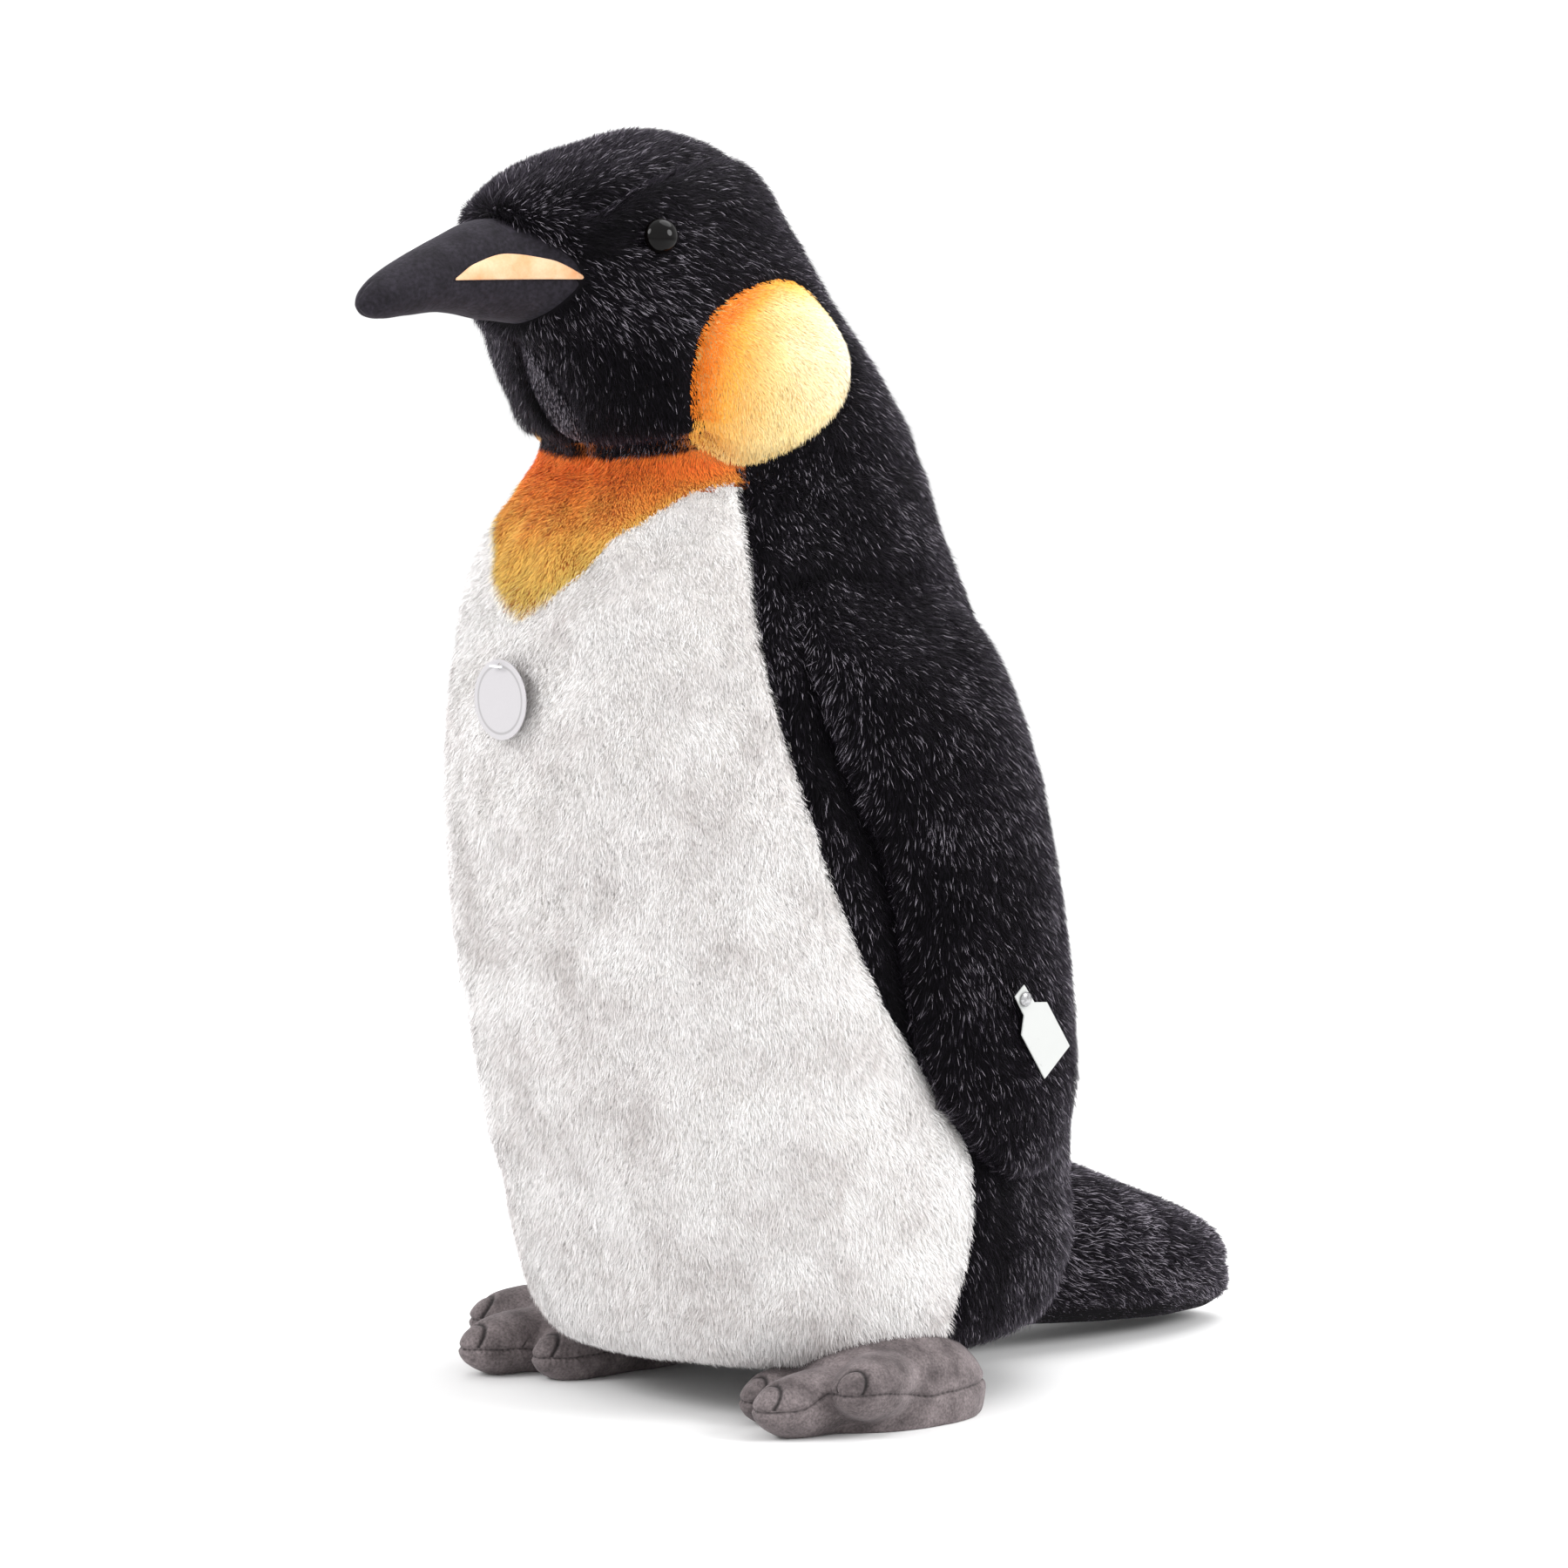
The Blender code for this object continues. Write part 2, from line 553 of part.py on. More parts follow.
def wing_puff(t, z):
    """Thickness of a stuffed wing: full in the middle, thin at its edges and at the shoulder."""
    along = (z - WING[0][0]) / (WING[-1][0] - WING[0][0])
    ends = min(1.0, along / 0.16)**0.5 * min(1.0, (1.0 - along) / 0.22)**0.6
    return WING_THICK * max(0.0, 1 - abs(t)**2.4)**0.6 * max(0.0, ends)


def wing_inner(t, z):
    return body_side_x(wing_y(t, z), z) + WING_GAP


def wing_outer(t, z):
    return wing_inner(t, z) + WING_CLOTH + TOUCH + 0.0030 + wing_puff(t, z)


def layer(name, side, rows, columns, low, high):
    """A wing's layer between two surfaces, each an x for (t, z)."""
    bm = bmesh.new()
    sheets = []
    for surface in (low, high):
        sheets.append([[bm.verts.new((side * surface(t, z), wing_y(t, z), z)) for t in columns] for z in rows])
    for sheet in sheets:
        for i in range(len(rows) - 1):
            for j in range(len(columns) - 1):
                bm.faces.new((sheet[i][j], sheet[i][j + 1], sheet[i + 1][j + 1], sheet[i + 1][j]))
    last_row, last_column = len(rows) - 1, len(columns) - 1
    rim = ([(0, j) for j in range(last_column)] + [(i, last_column) for i in range(last_row)]
           + [(last_row, j) for j in range(last_column, 0, -1)] + [(i, 0) for i in range(last_row, 0, -1)])
    for (i, j), (k, m) in zip(rim, rim[1:] + rim[:1]):
        bm.faces.new((sheets[0][i][j], sheets[0][k][m], sheets[1][k][m], sheets[1][i][j]))
    return new_object(name, bm)


def outer_cloth_low(t, z):
    return max(wing_outer(t, z) - 0.0030, wing_inner(t, z) + WING_CLOTH + TOUCH)


def wing_fill_low(t, z):
    return wing_inner(t, z) + WING_CLOTH + TOUCH


def wing_fill_high(t, z):
    return outer_cloth_low(t, z) - TOUCH


def button_matrix(lift):
    """The button's own Z points out of the left wing, and its Y up."""
    front, rear = (smooth_between(WING, column, BUTTON_Z) for column in (1, 2))
    t = 2 * (BUTTON_Y - front) / (rear - front) - 1
    seat = Vector((wing_outer(t, BUTTON_Z), BUTTON_Y, BUTTON_Z))
    out = Vector((1.0, 0.10, -0.03)).normalized()
    up = (Vector((0, 0, 1)) - out * out.z).normalized()
    turn = Matrix((up.cross(out), up, out)).transposed().to_4x4()
    return Matrix.Translation(seat + out * lift) @ turn


button_hole = rod("cut_button_hole", BUTTON_SHANK + TOUCH, 0.020, button_matrix(-0.010))
button_pocket = rod("cut_button_pocket", 0.0065, 0.012, button_matrix(-0.0120))
for word, side in SIDES.items():
    in_material(layer("wing_inner_panel_" + word, side, WING_ROWS, WING_COLUMNS, wing_inner,
                      lambda t, z: wing_inner(t, z) + WING_CLOTH), BLACK_PILE)
    shell = layer("wing_outer_panel_" + word, side, WING_ROWS, WING_COLUMNS, outer_cloth_low, wing_outer)
    stuffing = layer("wing_stuffing_" + word, side, WING_ROWS[2:-2], WING_COLUMNS[1:-1],
                     wing_fill_low, wing_fill_high)
    if side > 0:
        remove(shell, button_hole)
        remove(stuffing, button_pocket)
    in_material(shell, BLACK_PILE)
    in_material(stuffing, STUFFING_WHITE)

# ---- button and flag on the left wing ----
dome = [(BUTTON_R * math.sin(a), 0.0018 * math.cos(a)) for a in (math.pi / 2 * i / 4 for i in range(5))]
button = turned("wing_button", dome + [(BUTTON_R, -0.0006), (BUTTON_SHANK, -0.0006), (BUTTON_SHANK, -0.0125),
                                       (0.0, -0.0125)], button_matrix(FLAG_STANDOFF + FLAG_T + 0.0012), steps=16)
in_material(button, STEEL, 0.25, 1.0)
cap = turned("wing_button_washer", [(BUTTON_SHANK + TOUCH, 0.0), (0.0050, 0.0), (0.0050, -0.0010),
                                    (BUTTON_SHANK + TOUCH, -0.0010)],
             button_matrix(-0.0054), steps=16, closed=True)
in_material(cap, STEEL, 0.25, 1.0)

tilt = Matrix.Rotation(math.radians(FLAG_TILT), 4, "Z")
flag_frame = button_matrix(FLAG_STANDOFF) @ tilt
flag = prism("wing_flag", FLAG, lambda a, b, t: flag_frame @ Vector((a, b, t)), 0.0, FLAG_T, PARTS)
flag_hole = rod("cut_flag_hole", BUTTON_SHANK + TOUCH, 0.01, button_matrix(-0.002), sides=16)
remove(flag, flag_hole)
in_material(flag, PAPER_WHITE)

# ---- chest tag and its fastener ----
tag_turn = Matrix.Rotation(math.radians(90), 4, "X")
tag_top = TAG_Z + TAG_R - TAG_HOLE_DROP
tag = rod("chest_tag", TAG_R, TAG_T, Matrix.Translation((0, TAG_Y + TAG_T / 2, TAG_Z)) @ tag_turn, 32, PARTS)
tag_hole = rod("cut_tag_hole", TAG_HOLE_R, 0.01, Matrix.Translation((0, TAG_Y + 0.005, tag_top)) @ tag_turn, 16)
remove(tag, tag_hole)
in_material(tag, PAPER_WHITE, 0.35)

FRONT_BAR_Y, BACK_BAR_Y = TAG_Y - 0.0030, -0.2025
fastener = rod("tag_fastener", THREAD_R, BACK_BAR_Y - FRONT_BAR_Y,
               Matrix.Translation((0, BACK_BAR_Y, tag_top)) @ tag_turn, 10, PARTS)
for number, bar_y in enumerate((FRONT_BAR_Y, BACK_BAR_Y)):
    bar = rod("cut_tag_bar_%d" % number, BAR_R, BAR_L,
              Matrix.Translation((-BAR_L / 2, bar_y, tag_top)) @ Matrix.Rotation(math.radians(90), 4, "Y"), 12)
    boolean(fastener, bar, "UNION")
in_material(fastener, HARD_PLASTIC, 0.2)


# ---- tail ----
def tail_loft(name, inset, group=PARTS, sides=20):
    rings = []
    for y, low, high, half in TAIL:
        end = inset if y == TAIL[-1][0] else 0.0
        middle, tall, wide = (low + high) / 2, (high - low) / 2 - inset, half - inset
        ring = []
        for i in range(sides):
            a = 2 * math.pi * i / sides
            s, c = math.sin(a), math.cos(a)
            r = (abs(s)**2.5 + abs(c)**2.5)**(-1 / 2.5)
            ring.append((wide * r * s, y - end, middle + tall * r * c))
        rings.append(ring)
    return ring_solid(name, rings, group)


tail_core = tail_loft("cut_tail_core", COAT, CUTTERS)
tail_below = box("cut_tail_below", (-0.2, 0.05, -0.1), (0.2, 0.4, TAIL_SEAM_Z))
tail_above = box("cut_tail_above", (-0.2, 0.05, TAIL_SEAM_Z + SEAM), (0.2, 0.4, 0.3))
for name, half in (("tail_upper_panel", tail_above), ("tail_lower_panel", tail_below)):
    cloth = in_material(tail_loft(name, 0.0), BLACK_PILE)
    keep(cloth, half)
    remove(cloth, tail_core, envelope)
tail_fill = in_material(tail_loft("tail_stuffing", COAT + STUFFING_GAP), STUFFING_WHITE)
remove(tail_fill, envelope)

# ---- feet pieces ----
def slab(name, low, high):
    return box(name, (-0.3, -0.3, low), (0.3, 0.3, high))


below_seam = slab("cut_below_foot_seam", 0.0, FOOT_SEAM_Z)
upper_down = slab("cut_upper_down", -0.2, FOOT_SEAM_Z + TOUCH)
fill_down = slab("cut_fill_down", -0.2, FOOT_CLOTH + TOUCH)
cloth_down = slab("cut_cloth_down", -0.2, FOOT_CLOTH)
for word, side in SIDES.items():
    inner = foot_mass("cut_foot_inner_" + word, side, FOOT_CLOTH, CUTTERS)
    sole_hollow = foot_mass("cut_sole_hollow_" + word, side, FOOT_CLOTH, CUTTERS)
    remove(sole_hollow, cloth_down)
    sole = in_material(foot_mass("foot_sole_" + word, side, 0.0, PARTS), FOOT_VELOUR)
    keep(sole, below_seam)
    remove(sole, sole_hollow)
    cover = in_material(foot_mass("foot_cover_" + word, side, 0.0, PARTS), FOOT_VELOUR)
    remove(cover, upper_down, inner)
    stuffing = in_material(foot_mass("foot_stuffing_" + word, side, FOOT_CLOTH + TOUCH * 1.5, PARTS),
                           STUFFING_WHITE)
    remove(stuffing, fill_down)
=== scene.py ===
"""The looks of a plush penguin: pile of real strands, velour beak and feet, glossy eyes, blank tags.

Frame: metres, +Z up, the bird faces -Y and its left side is +X, as in the CAD.
"""
import itertools
import math

import bmesh
import bpy
import numpy as np
from mathutils import Matrix, Vector


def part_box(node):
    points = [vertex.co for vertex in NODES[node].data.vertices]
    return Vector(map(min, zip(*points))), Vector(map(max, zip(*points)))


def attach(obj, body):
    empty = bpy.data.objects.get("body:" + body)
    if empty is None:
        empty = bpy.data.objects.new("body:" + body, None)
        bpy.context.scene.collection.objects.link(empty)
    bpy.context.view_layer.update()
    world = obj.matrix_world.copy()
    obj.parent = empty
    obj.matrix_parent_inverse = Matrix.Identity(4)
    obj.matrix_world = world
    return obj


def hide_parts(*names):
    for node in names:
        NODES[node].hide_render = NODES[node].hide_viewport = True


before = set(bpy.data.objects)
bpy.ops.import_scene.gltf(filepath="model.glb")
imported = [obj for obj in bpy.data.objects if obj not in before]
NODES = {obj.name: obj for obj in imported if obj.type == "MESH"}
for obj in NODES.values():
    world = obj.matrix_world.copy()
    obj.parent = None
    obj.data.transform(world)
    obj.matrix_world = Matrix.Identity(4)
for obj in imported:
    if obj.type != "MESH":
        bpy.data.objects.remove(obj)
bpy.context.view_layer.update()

MM = 0.001
FEW = 1.0


# ---- camera ----
def place_camera():
    azimuth, elevation, distance = math.radians(48.0), math.radians(5.55), 3.6
    target = Vector((-0.032, 0.0105, 0.322))
    back = Vector((math.sin(azimuth) * math.cos(elevation), -math.cos(azimuth) * math.cos(elevation),
                   math.sin(elevation)))
    data = bpy.data.cameras.new("camera")
    data.lens, data.sensor_width = 151.2, 36.0
    data.clip_end = 200.0
    camera = bpy.data.objects.new("camera", data)
    camera.location = target + back * distance
    camera.rotation_mode = "QUATERNION"
    camera.rotation_quaternion = (-back).to_track_quat("-Z", "Y")
    bpy.context.scene.collection.objects.link(camera)
    bpy.context.scene.camera = camera


place_camera()


# ---- curves and noise over arrays ----
def smooth_between(rows, column, at):
    """Monotone smooth curve through the rows' first column and the named one, as in the CAD."""
    rows = np.asarray(rows, float)
    xs, ys = rows[:, 0], rows[:, column]
    at = np.clip(at, xs[0], xs[-1])
    k = np.clip(np.searchsorted(xs, at, side="right") - 1, 0, len(xs) - 2)
    slope = np.diff(ys) / np.diff(xs)
    product = slope[:-1] * slope[1:]
    total = slope[:-1] + slope[1:]
    inner = np.where(product > 0, 2 * product / np.where(np.abs(total) < 1e-12, 1.0, total), 0.0)
    tangent = np.concatenate([slope[:1], inner, slope[-1:]])
    step = xs[k + 1] - xs[k]
    t = (at - xs[k]) / step
    return ((2 * t**3 - 3 * t**2 + 1) * ys[k] + (t**3 - 2 * t**2 + t) * step * tangent[k]
            + (-2 * t**3 + 3 * t**2) * ys[k + 1] + (t**3 - t**2) * step * tangent[k + 1])


def hashed(cells, seed):
    """A repeatable number from 0 to 1 for each whole-number cell."""
    c = cells.astype(np.uint32)
    h = c[..., 0] * np.uint32(73856093) ^ c[..., 1] * np.uint32(19349663) ^ c[..., 2] * np.uint32(83492791)
    h = (h ^ np.uint32(seed * 2654435 + 97)) * np.uint32(2246822519)
    h ^= h >> np.uint32(13)
    h *= np.uint32(3266489917)
    h ^= h >> np.uint32(16)
    return h.astype(np.float64) / 4294967295.0


def noise(points, scale, seed):
    """Smooth noise from -1 to 1, whose lumps are about one scale wide."""
    q = points / scale + seed * 7.31
    cell = np.floor(q).astype(np.int64)
    f = q - cell
    f = f * f * (3 - 2 * f)
    total = np.zeros(len(points))
    for corner in itertools.product((0, 1), repeat=3):
        weight = np.prod(np.where(np.array(corner) == 1, f, 1 - f), axis=1)
        total += weight * hashed(cell + np.array(corner), seed)
    return total * 2 - 1


def nearest_tuft(points, scale, seed):
    """The nearest of a scatter of tuft centres, about one scale apart."""
    q = points / scale
    cell = np.floor(q).astype(np.int64)
    best = np.full(len(points), 1e9)
    centre = np.zeros_like(points)
    for offset in itertools.product((-1, 0, 1), repeat=3):
        c = cell + np.array(offset)
        spot = c + np.stack([hashed(c, seed + k) for k in range(3)], axis=1)
        d = ((spot - q)**2).sum(axis=1)
        closer = d < best
        best[closer] = d[closer]
        centre[closer] = spot[closer]
    return centre * scale


def unit(v):
    return v / np.maximum(np.linalg.norm(v, axis=-1, keepdims=True), 1e-12)


def bump(x, width):
    return np.exp(-(x / width)**2)


def step_up(x, low, high):
    t = np.clip((x - low) / (high - low), 0, 1)
    return t * t * (3 - 2 * t)


def rounded(points, rounds=2):
    """A closed outline with its corners cut."""
    points = np.asarray(points, float)
    for _ in range(rounds):
        ahead = np.roll(points, -1, axis=0)
        cuts = [0.75 * points + 0.25 * ahead, 0.25 * points + 0.75 * ahead]
        points = np.stack(cuts, axis=1).reshape(-1, 2)
    return points


def signed_distance(points, outline):
    """Distance to a closed outline in a plane, positive inside."""
    best = np.full(len(points), 1e9)
    inside = np.zeros(len(points), bool)
    for a, b in zip(outline, np.roll(outline, -1, axis=0)):
        edge = b - a
        t = np.clip(((points - a) @ edge) / max(edge @ edge, 1e-12), 0, 1)
        best = np.minimum(best, np.linalg.norm(points - a - t[:, None] * edge, axis=1))
        crosses = (a[1] > points[:, 1]) != (b[1] > points[:, 1])
        if edge[1] != 0:
            at = a[0] + (points[:, 1] - a[1]) / edge[1] * edge[0]
            inside ^= crosses & (points[:, 0] < at)
    return np.where(inside, best, -best)


# ---- the form: the surface of the pile's tips, as in the CAD ----
FORM = [      # z, front y, rear y, half width
    (0.020, -0.115, 0.085, 0.100),
    (0.030, -0.138, 0.112, 0.126),
    (0.050, -0.152, 0.130, 0.139),
    (0.080, -0.162, 0.137, 0.145),
    (0.130, -0.177, 0.137, 0.147),
    (0.180, -0.190, 0.135, 0.147),
    (0.230, -0.201, 0.128, 0.147),
    (0.280, -0.209, 0.119, 0.146),
    (0.330, -0.213, 0.108, 0.143),
    (0.380, -0.213, 0.092, 0.137),
    (0.420, -0.211, 0.076, 0.130),
    (0.450, -0.204, 0.065, 0.121),
    (0.475, -0.192, 0.058, 0.111),
    (0.494, -0.176, 0.053, 0.103),
    (0.506, -0.167, 0.048, 0.098),
    (0.518, -0.176, 0.043, 0.098),
    (0.535, -0.187, 0.033, 0.097),
    (0.560, -0.202, 0.016, 0.092),
    (0.585, -0.212, -0.003, 0.084),
    (0.610, -0.219, -0.022, 0.078),
    (0.632, -0.221, -0.037, 0.072),
    (0.650, -0.210, -0.047, 0.063),
    (0.664, -0.186, -0.063, 0.048),
    (0.674, -0.158, -0.085, 0.028),
]
CROWN = np.array((0.0, -0.121, 0.681))
BASE_Z = 0.036
BELLY_SEAM = [(-0.120, 0.505), (-0.1285, 0.476), (-0.137, 0.424), (-0.131, 0.379), (-0.115, 0.316),
              (-0.083, 0.237), (-0.040, 0.178), (-0.012, 0.143), (-0.008, 0.110), (-0.012, 0.083),
              (-0.020, 0.050), (-0.024, 0.010)]                     # y, z
BIB_EDGE = [(0.0, 0.421), (0.020, 0.434), (0.041, 0.454), (0.053, 0.474), (0.063, 0.487),
            (0.075, 0.497), (0.130, 0.501)]                         # x, z
COLLAR_TOP = [(0.130, 0.5225), (0.086, 0.5190), (0.060, 0.5120), (0.0, 0.5070)]  # x, z
COLLAR_BACK_Y = -0.119
EAR_PATCH = [(-0.089, 0.602), (-0.125, 0.592), (-0.144, 0.575), (-0.149, 0.552), (-0.145, 0.530),
             (-0.131, 0.510), (-0.118, 0.505), (-0.100, 0.509), (-0.072, 0.525), (-0.050, 0.541),
             (-0.037, 0.560), (-0.041, 0.581), (-0.061, 0.597)]     # y, z
CROWN_GUSSET = [(0.0, -0.300), (0.030, -0.300), (0.036, -0.230), (0.053, -0.190), (0.052, -0.155),
                (0.045, -0.120), (0.030, -0.085), (0.012, -0.058), (0.0, -0.050)]  # x, y
CROWN_FROM_Z = 0.612
THROAT = [(0.0, 0.574), (0.010, 0.556), (0.016, 0.538), (0.013, 0.522), (0.0, 0.500)]  # x, z
EYE_AT_Z, EYE_ANGLE = 0.6236, math.radians(66.8)
BROW = np.array((0.0, -0.219, 0.640))
SKIN_DEPTH = 6.0 * MM            # backing cloth below the pile's tips
SIDES = (("left", 1), ("right", -1))


def mirrored(half):
    return half + [(-a, b) for a, b in reversed(half) if abs(a) > 1e-6]


def form_section(z):
    """The form's middle, half depth, half width and squareness at a height."""
    front, back, half = (smooth_between(FORM, column, z) for column in (1, 2, 3))
    return (front + back) / 2, (back - front) / 2, half, 2.3 - 0.2 * np.clip((z - 0.33) / 0.12, 0, 1)


def form_point(angle, z):
    """A point of the form; the angle runs from the front round to the bird's left."""
    middle, depth, half, power = form_section(z)
    s, c = np.sin(angle), np.cos(angle)
    r = (np.abs(s)**power + np.abs(c)**power)**(-1 / power)
    return np.stack([half * r * s, middle - depth * r * c, z], axis=-1)


# ---- seams as distances ----
BELLY = rounded(BELLY_SEAM + [(-0.400, 0.010), (-0.400, 0.505)], 1)
COLLAR = rounded(mirrored(BIB_EDGE + COLLAR_TOP), 2)
EAR = rounded(EAR_PATCH, 2)
GUSSET = rounded(mirrored(CROWN_GUSSET), 2)
GULLET = rounded(mirrored(THROAT), 1)
FAR = 0.05
REGIONS = ("side", "belly", "collar", "ear", "throat", "crown", "base")


def seam_distances(p):
    """For each region, how far inside it a point lies."""
    x, y, z = p[:, 0], p[:, 1], p[:, 2]
    ear = np.where(np.abs(x) > 0.02, signed_distance(p[:, 1:], EAR), -FAR)
    collar = np.where(y < COLLAR_BACK_Y, signed_distance(p[:, (0, 2)], COLLAR), -FAR)
    throat = np.where(y < -0.12, signed_distance(p[:, (0, 2)], GULLET), -FAR)
    crown = np.where(z > CROWN_FROM_Z, signed_distance(p[:, :2], GUSSET), -FAR)
    belly = np.where(z < 0.505, signed_distance(p[:, 1:], BELLY), -FAR)
    base = BASE_Z - z
    return {"ear": ear, "collar": collar, "throat": throat, "crown": crown, "belly": belly, "base": base}


def region_of(distances):
    """The region of each point: the last of these that it is inside, else the sides."""
    ids = np.zeros(len(distances["ear"]), int)
    for name in ("base", "belly", "crown", "throat", "collar", "ear"):
        ids[distances[name] > 0] = REGIONS.index(name)
    return ids


def eye_centre(side):
    angle = side * EYE_ANGLE
    return form_point(np.array([angle]), np.array([EYE_AT_Z]))[0]


# ---- meshes ----
def link(name, mesh):
    obj = bpy.data.objects.new(name, mesh)
    bpy.context.scene.collection.objects.link(obj)
    return obj


def mesh_from(name, verts, faces, smooth=True):
    mesh = bpy.data.meshes.new(name)
    mesh.from_pydata([tuple(v) for v in verts], [], [tuple(int(i) for i in f) for f in faces])
    if smooth:
        mesh.shade_smooth()
    return link(name, mesh)


def grid_faces(rows, columns, closed):
    """Quads over a grid of points; closed joins the last column to the first."""
    i = np.arange(rows - 1)[:, None]
    j = np.arange(columns if closed else columns - 1)[None, :]
    k = (j + 1) % columns
    low, high = i * columns, (i + 1) * columns
    return np.stack([low + j, low + k, high + k, high + j], axis=-1).reshape(-1, 4)


def grid_normals(points, closed):
    """Outward normals of a (rows, columns) grid: columns run anticlockwise seen from above."""
    if closed:
        round_ = np.roll(points, -1, axis=1) - np.roll(points, 1, axis=1)
    else:
        round_ = np.gradient(points, axis=1)
    up = np.gradient(points, axis=0)
    return unit(np.cross(round_, up))


def to_triangles(faces):
    return np.concatenate([faces[:, (0, 1, 2)], faces[:, (0, 2, 3)]])


# ---- materials ----
def set_inputs(node, **values):
    """Set a node's sockets; an underscore in a name stands for a space."""
    for name, value in values.items():
        node.inputs[name.replace("_", " ")].default_value = value


def new_material(name, roughness=0.8, sheen=0.0, sheen_tint=(1, 1, 1), specular=0.5):
    made = bpy.data.materials.new(name)
    made.use_nodes = True
    shader = made.node_tree.nodes["Principled BSDF"]
    set_inputs(shader, Roughness=roughness, Sheen_Weight=sheen, Sheen_Roughness=0.4,
               Sheen_Tint=(*sheen_tint, 1.0), Specular_IOR_Level=specular)
    return made, made.node_tree, shader


def ramp_node(tree, stops, source):
    ramp = tree.nodes.new("ShaderNodeValToRGB")
    elements = ramp.color_ramp.elements
    while len(elements) < len(stops):
        elements.new(0.5)
    for element, (at, colour) in zip(elements, stops):
        element.position = at
        element.color = (*colour, 1.0)
    tree.links.new(source, ramp.inputs["Fac"])
    return ramp.outputs["Color"]


def multiply(tree, a, b):
    mix = tree.nodes.new("ShaderNodeMix")
    mix.data_type, mix.blend_type = "RGBA", "MULTIPLY"
    mix.inputs["Factor"].default_value = 1.0
    tree.links.new(a, mix.inputs["A"])
    tree.links.new(b, mix.inputs["B"])
    return mix.outputs["Result"]


def grey(*values):
    """Stops of a grey ramp from (place, value) pairs."""
    return [(at, (v, v, v)) for at, v in values]


def pile_material(name, stops, roots, roughness, sheen, sheen_tint, specular=0.5):
    """Strands take their dye from UV x; along UV y a grey ramp paints shade towards their roots, as if deep
    in the pile.
    """
    made, tree, shader = new_material(name, roughness, sheen, sheen_tint, specular)
    uv = tree.nodes.new("ShaderNodeUVMap")
    uv.uv_map = "OFBake"
    parts = tree.nodes.new("ShaderNodeSeparateXYZ")
    tree.links.new(uv.outputs["UV"], parts.inputs["Vector"])
    dye = ramp_node(tree, stops, parts.outputs["X"])
    depth = ramp_node(tree, roots, parts.outputs["Y"])
    tree.links.new(multiply(tree, dye, depth), shader.inputs["Base Color"])
    return made


def noise_node(tree, scale, detail=3.0, roughness=0.55):
    where = tree.nodes.new("ShaderNodeTexCoord")
    tex = tree.nodes.new("ShaderNodeTexNoise")
    set_inputs(tex, Scale=scale, Detail=detail, Roughness=roughness)
    tree.links.new(where.outputs["Object"], tex.inputs["Vector"])
    return tex.outputs["Fac"]


def add_bump(tree, shader, height, distance):
    node = tree.nodes.new("ShaderNodeBump")
    set_inputs(node, Distance=distance, Strength=0.6)
    tree.links.new(height, node.inputs["Height"])
    tree.links.new(node.outputs["Normal"], shader.inputs["Normal"])


def cloth_material(name, stops, roughness=0.85, sheen=0.3, sheen_tint=(1, 1, 1), scale=260.0,
                   mottle=30.0, height=0.4 * MM, specular=0.3, depth=0.72):
    """Backing cloth, velour and stuffing: a fine nap over broad mottling."""
    made, tree, shader = new_material(name, roughness, sheen, sheen_tint, specular)
    broad = ramp_node(tree, stops, noise_node(tree, mottle, 4.0))
    fine = ramp_node(tree, grey((0.30, depth), (0.70, 1.0)), noise_node(tree, scale, 2.0))
    tree.links.new(multiply(tree, broad, fine), shader.inputs["Base Color"])
    add_bump(tree, shader, noise_node(tree, scale, 3.0), height)
    return made


def two_tone(low, high):
    """Stops of a mottled colour, between the noise's usual extremes."""
    return [(0.3, low), (0.7, high)]


def hard_material(name, colour, roughness, metallic=0.0, coat=0.0, scale=90.0, vary=0.9, specular=0.5):
    """Plastic, glass or metal, with a faint mottling down to vary times the colour."""
    made, tree, shader = new_material(name, roughness, specular=specular)
    stops = two_tone(tuple(c * vary for c in colour), colour)
    tree.links.new(ramp_node(tree, stops, noise_node(tree, scale)), shader.inputs["Base Color"])
    set_inputs(shader, Metallic=metallic, Coat_Weight=coat, Coat_Roughness=0.03)
    return made


# Black dye from near black up to a bright top stop: the strands that reach it are painted glints
BLACK = [(0.0, (0.001, 0.0008, 0.0014)), (0.50, (0.005, 0.004, 0.0065)), (0.80, (0.018, 0.014, 0.022)),
         (1.0, (0.50, 0.46, 0.53))]
WHITE = [(0.0, (0.62, 0.575, 0.565)), (0.5, (0.90, 0.875, 0.87)), (1.0, (0.99, 0.98, 0.975))]
COLLAR_DYE = [(0.0, (0.86, 0.10, 0.012)), (0.25, (0.92, 0.24, 0.03)), (0.5, (0.88, 0.48, 0.09)),
              (0.75, (0.74, 0.52, 0.12)), (1.0, (0.97, 0.95, 0.92))]
EAR_DYE = [(0.0, (0.98, 0.25, 0.015)), (0.3, (0.99, 0.48, 0.07)), (0.6, (0.96, 0.76, 0.36)),
           (1.0, (0.98, 0.94, 0.82))]
# Each pile's dye ramp, its grey ramp of painted shade from root to tip, and its finish
PILE = {
    name: pile_material(name + "_pile_strands", stops, grey(*roots), *finish)
    for name, stops, roots, finish in (
        ("black", BLACK, ((0.0, 0.12), (0.5, 0.30), (0.85, 1.0)), (0.42, 0.14, (0.52, 0.44, 0.60), 0.05)),
        ("white", WHITE, ((0.0, 0.90), (0.6, 1.0)), (0.7, 0.1, (1, 1, 1), 0.3)),
        ("collar", COLLAR_DYE, ((0.0, 0.80), (0.6, 1.0)), (0.75, 0.10, (1.0, 0.8, 0.6), 0.3)),
        ("ear", EAR_DYE, ((0.0, 0.92), (0.6, 1.0)), (0.75, 0.10, (1.0, 0.85, 0.65), 0.3)))
}
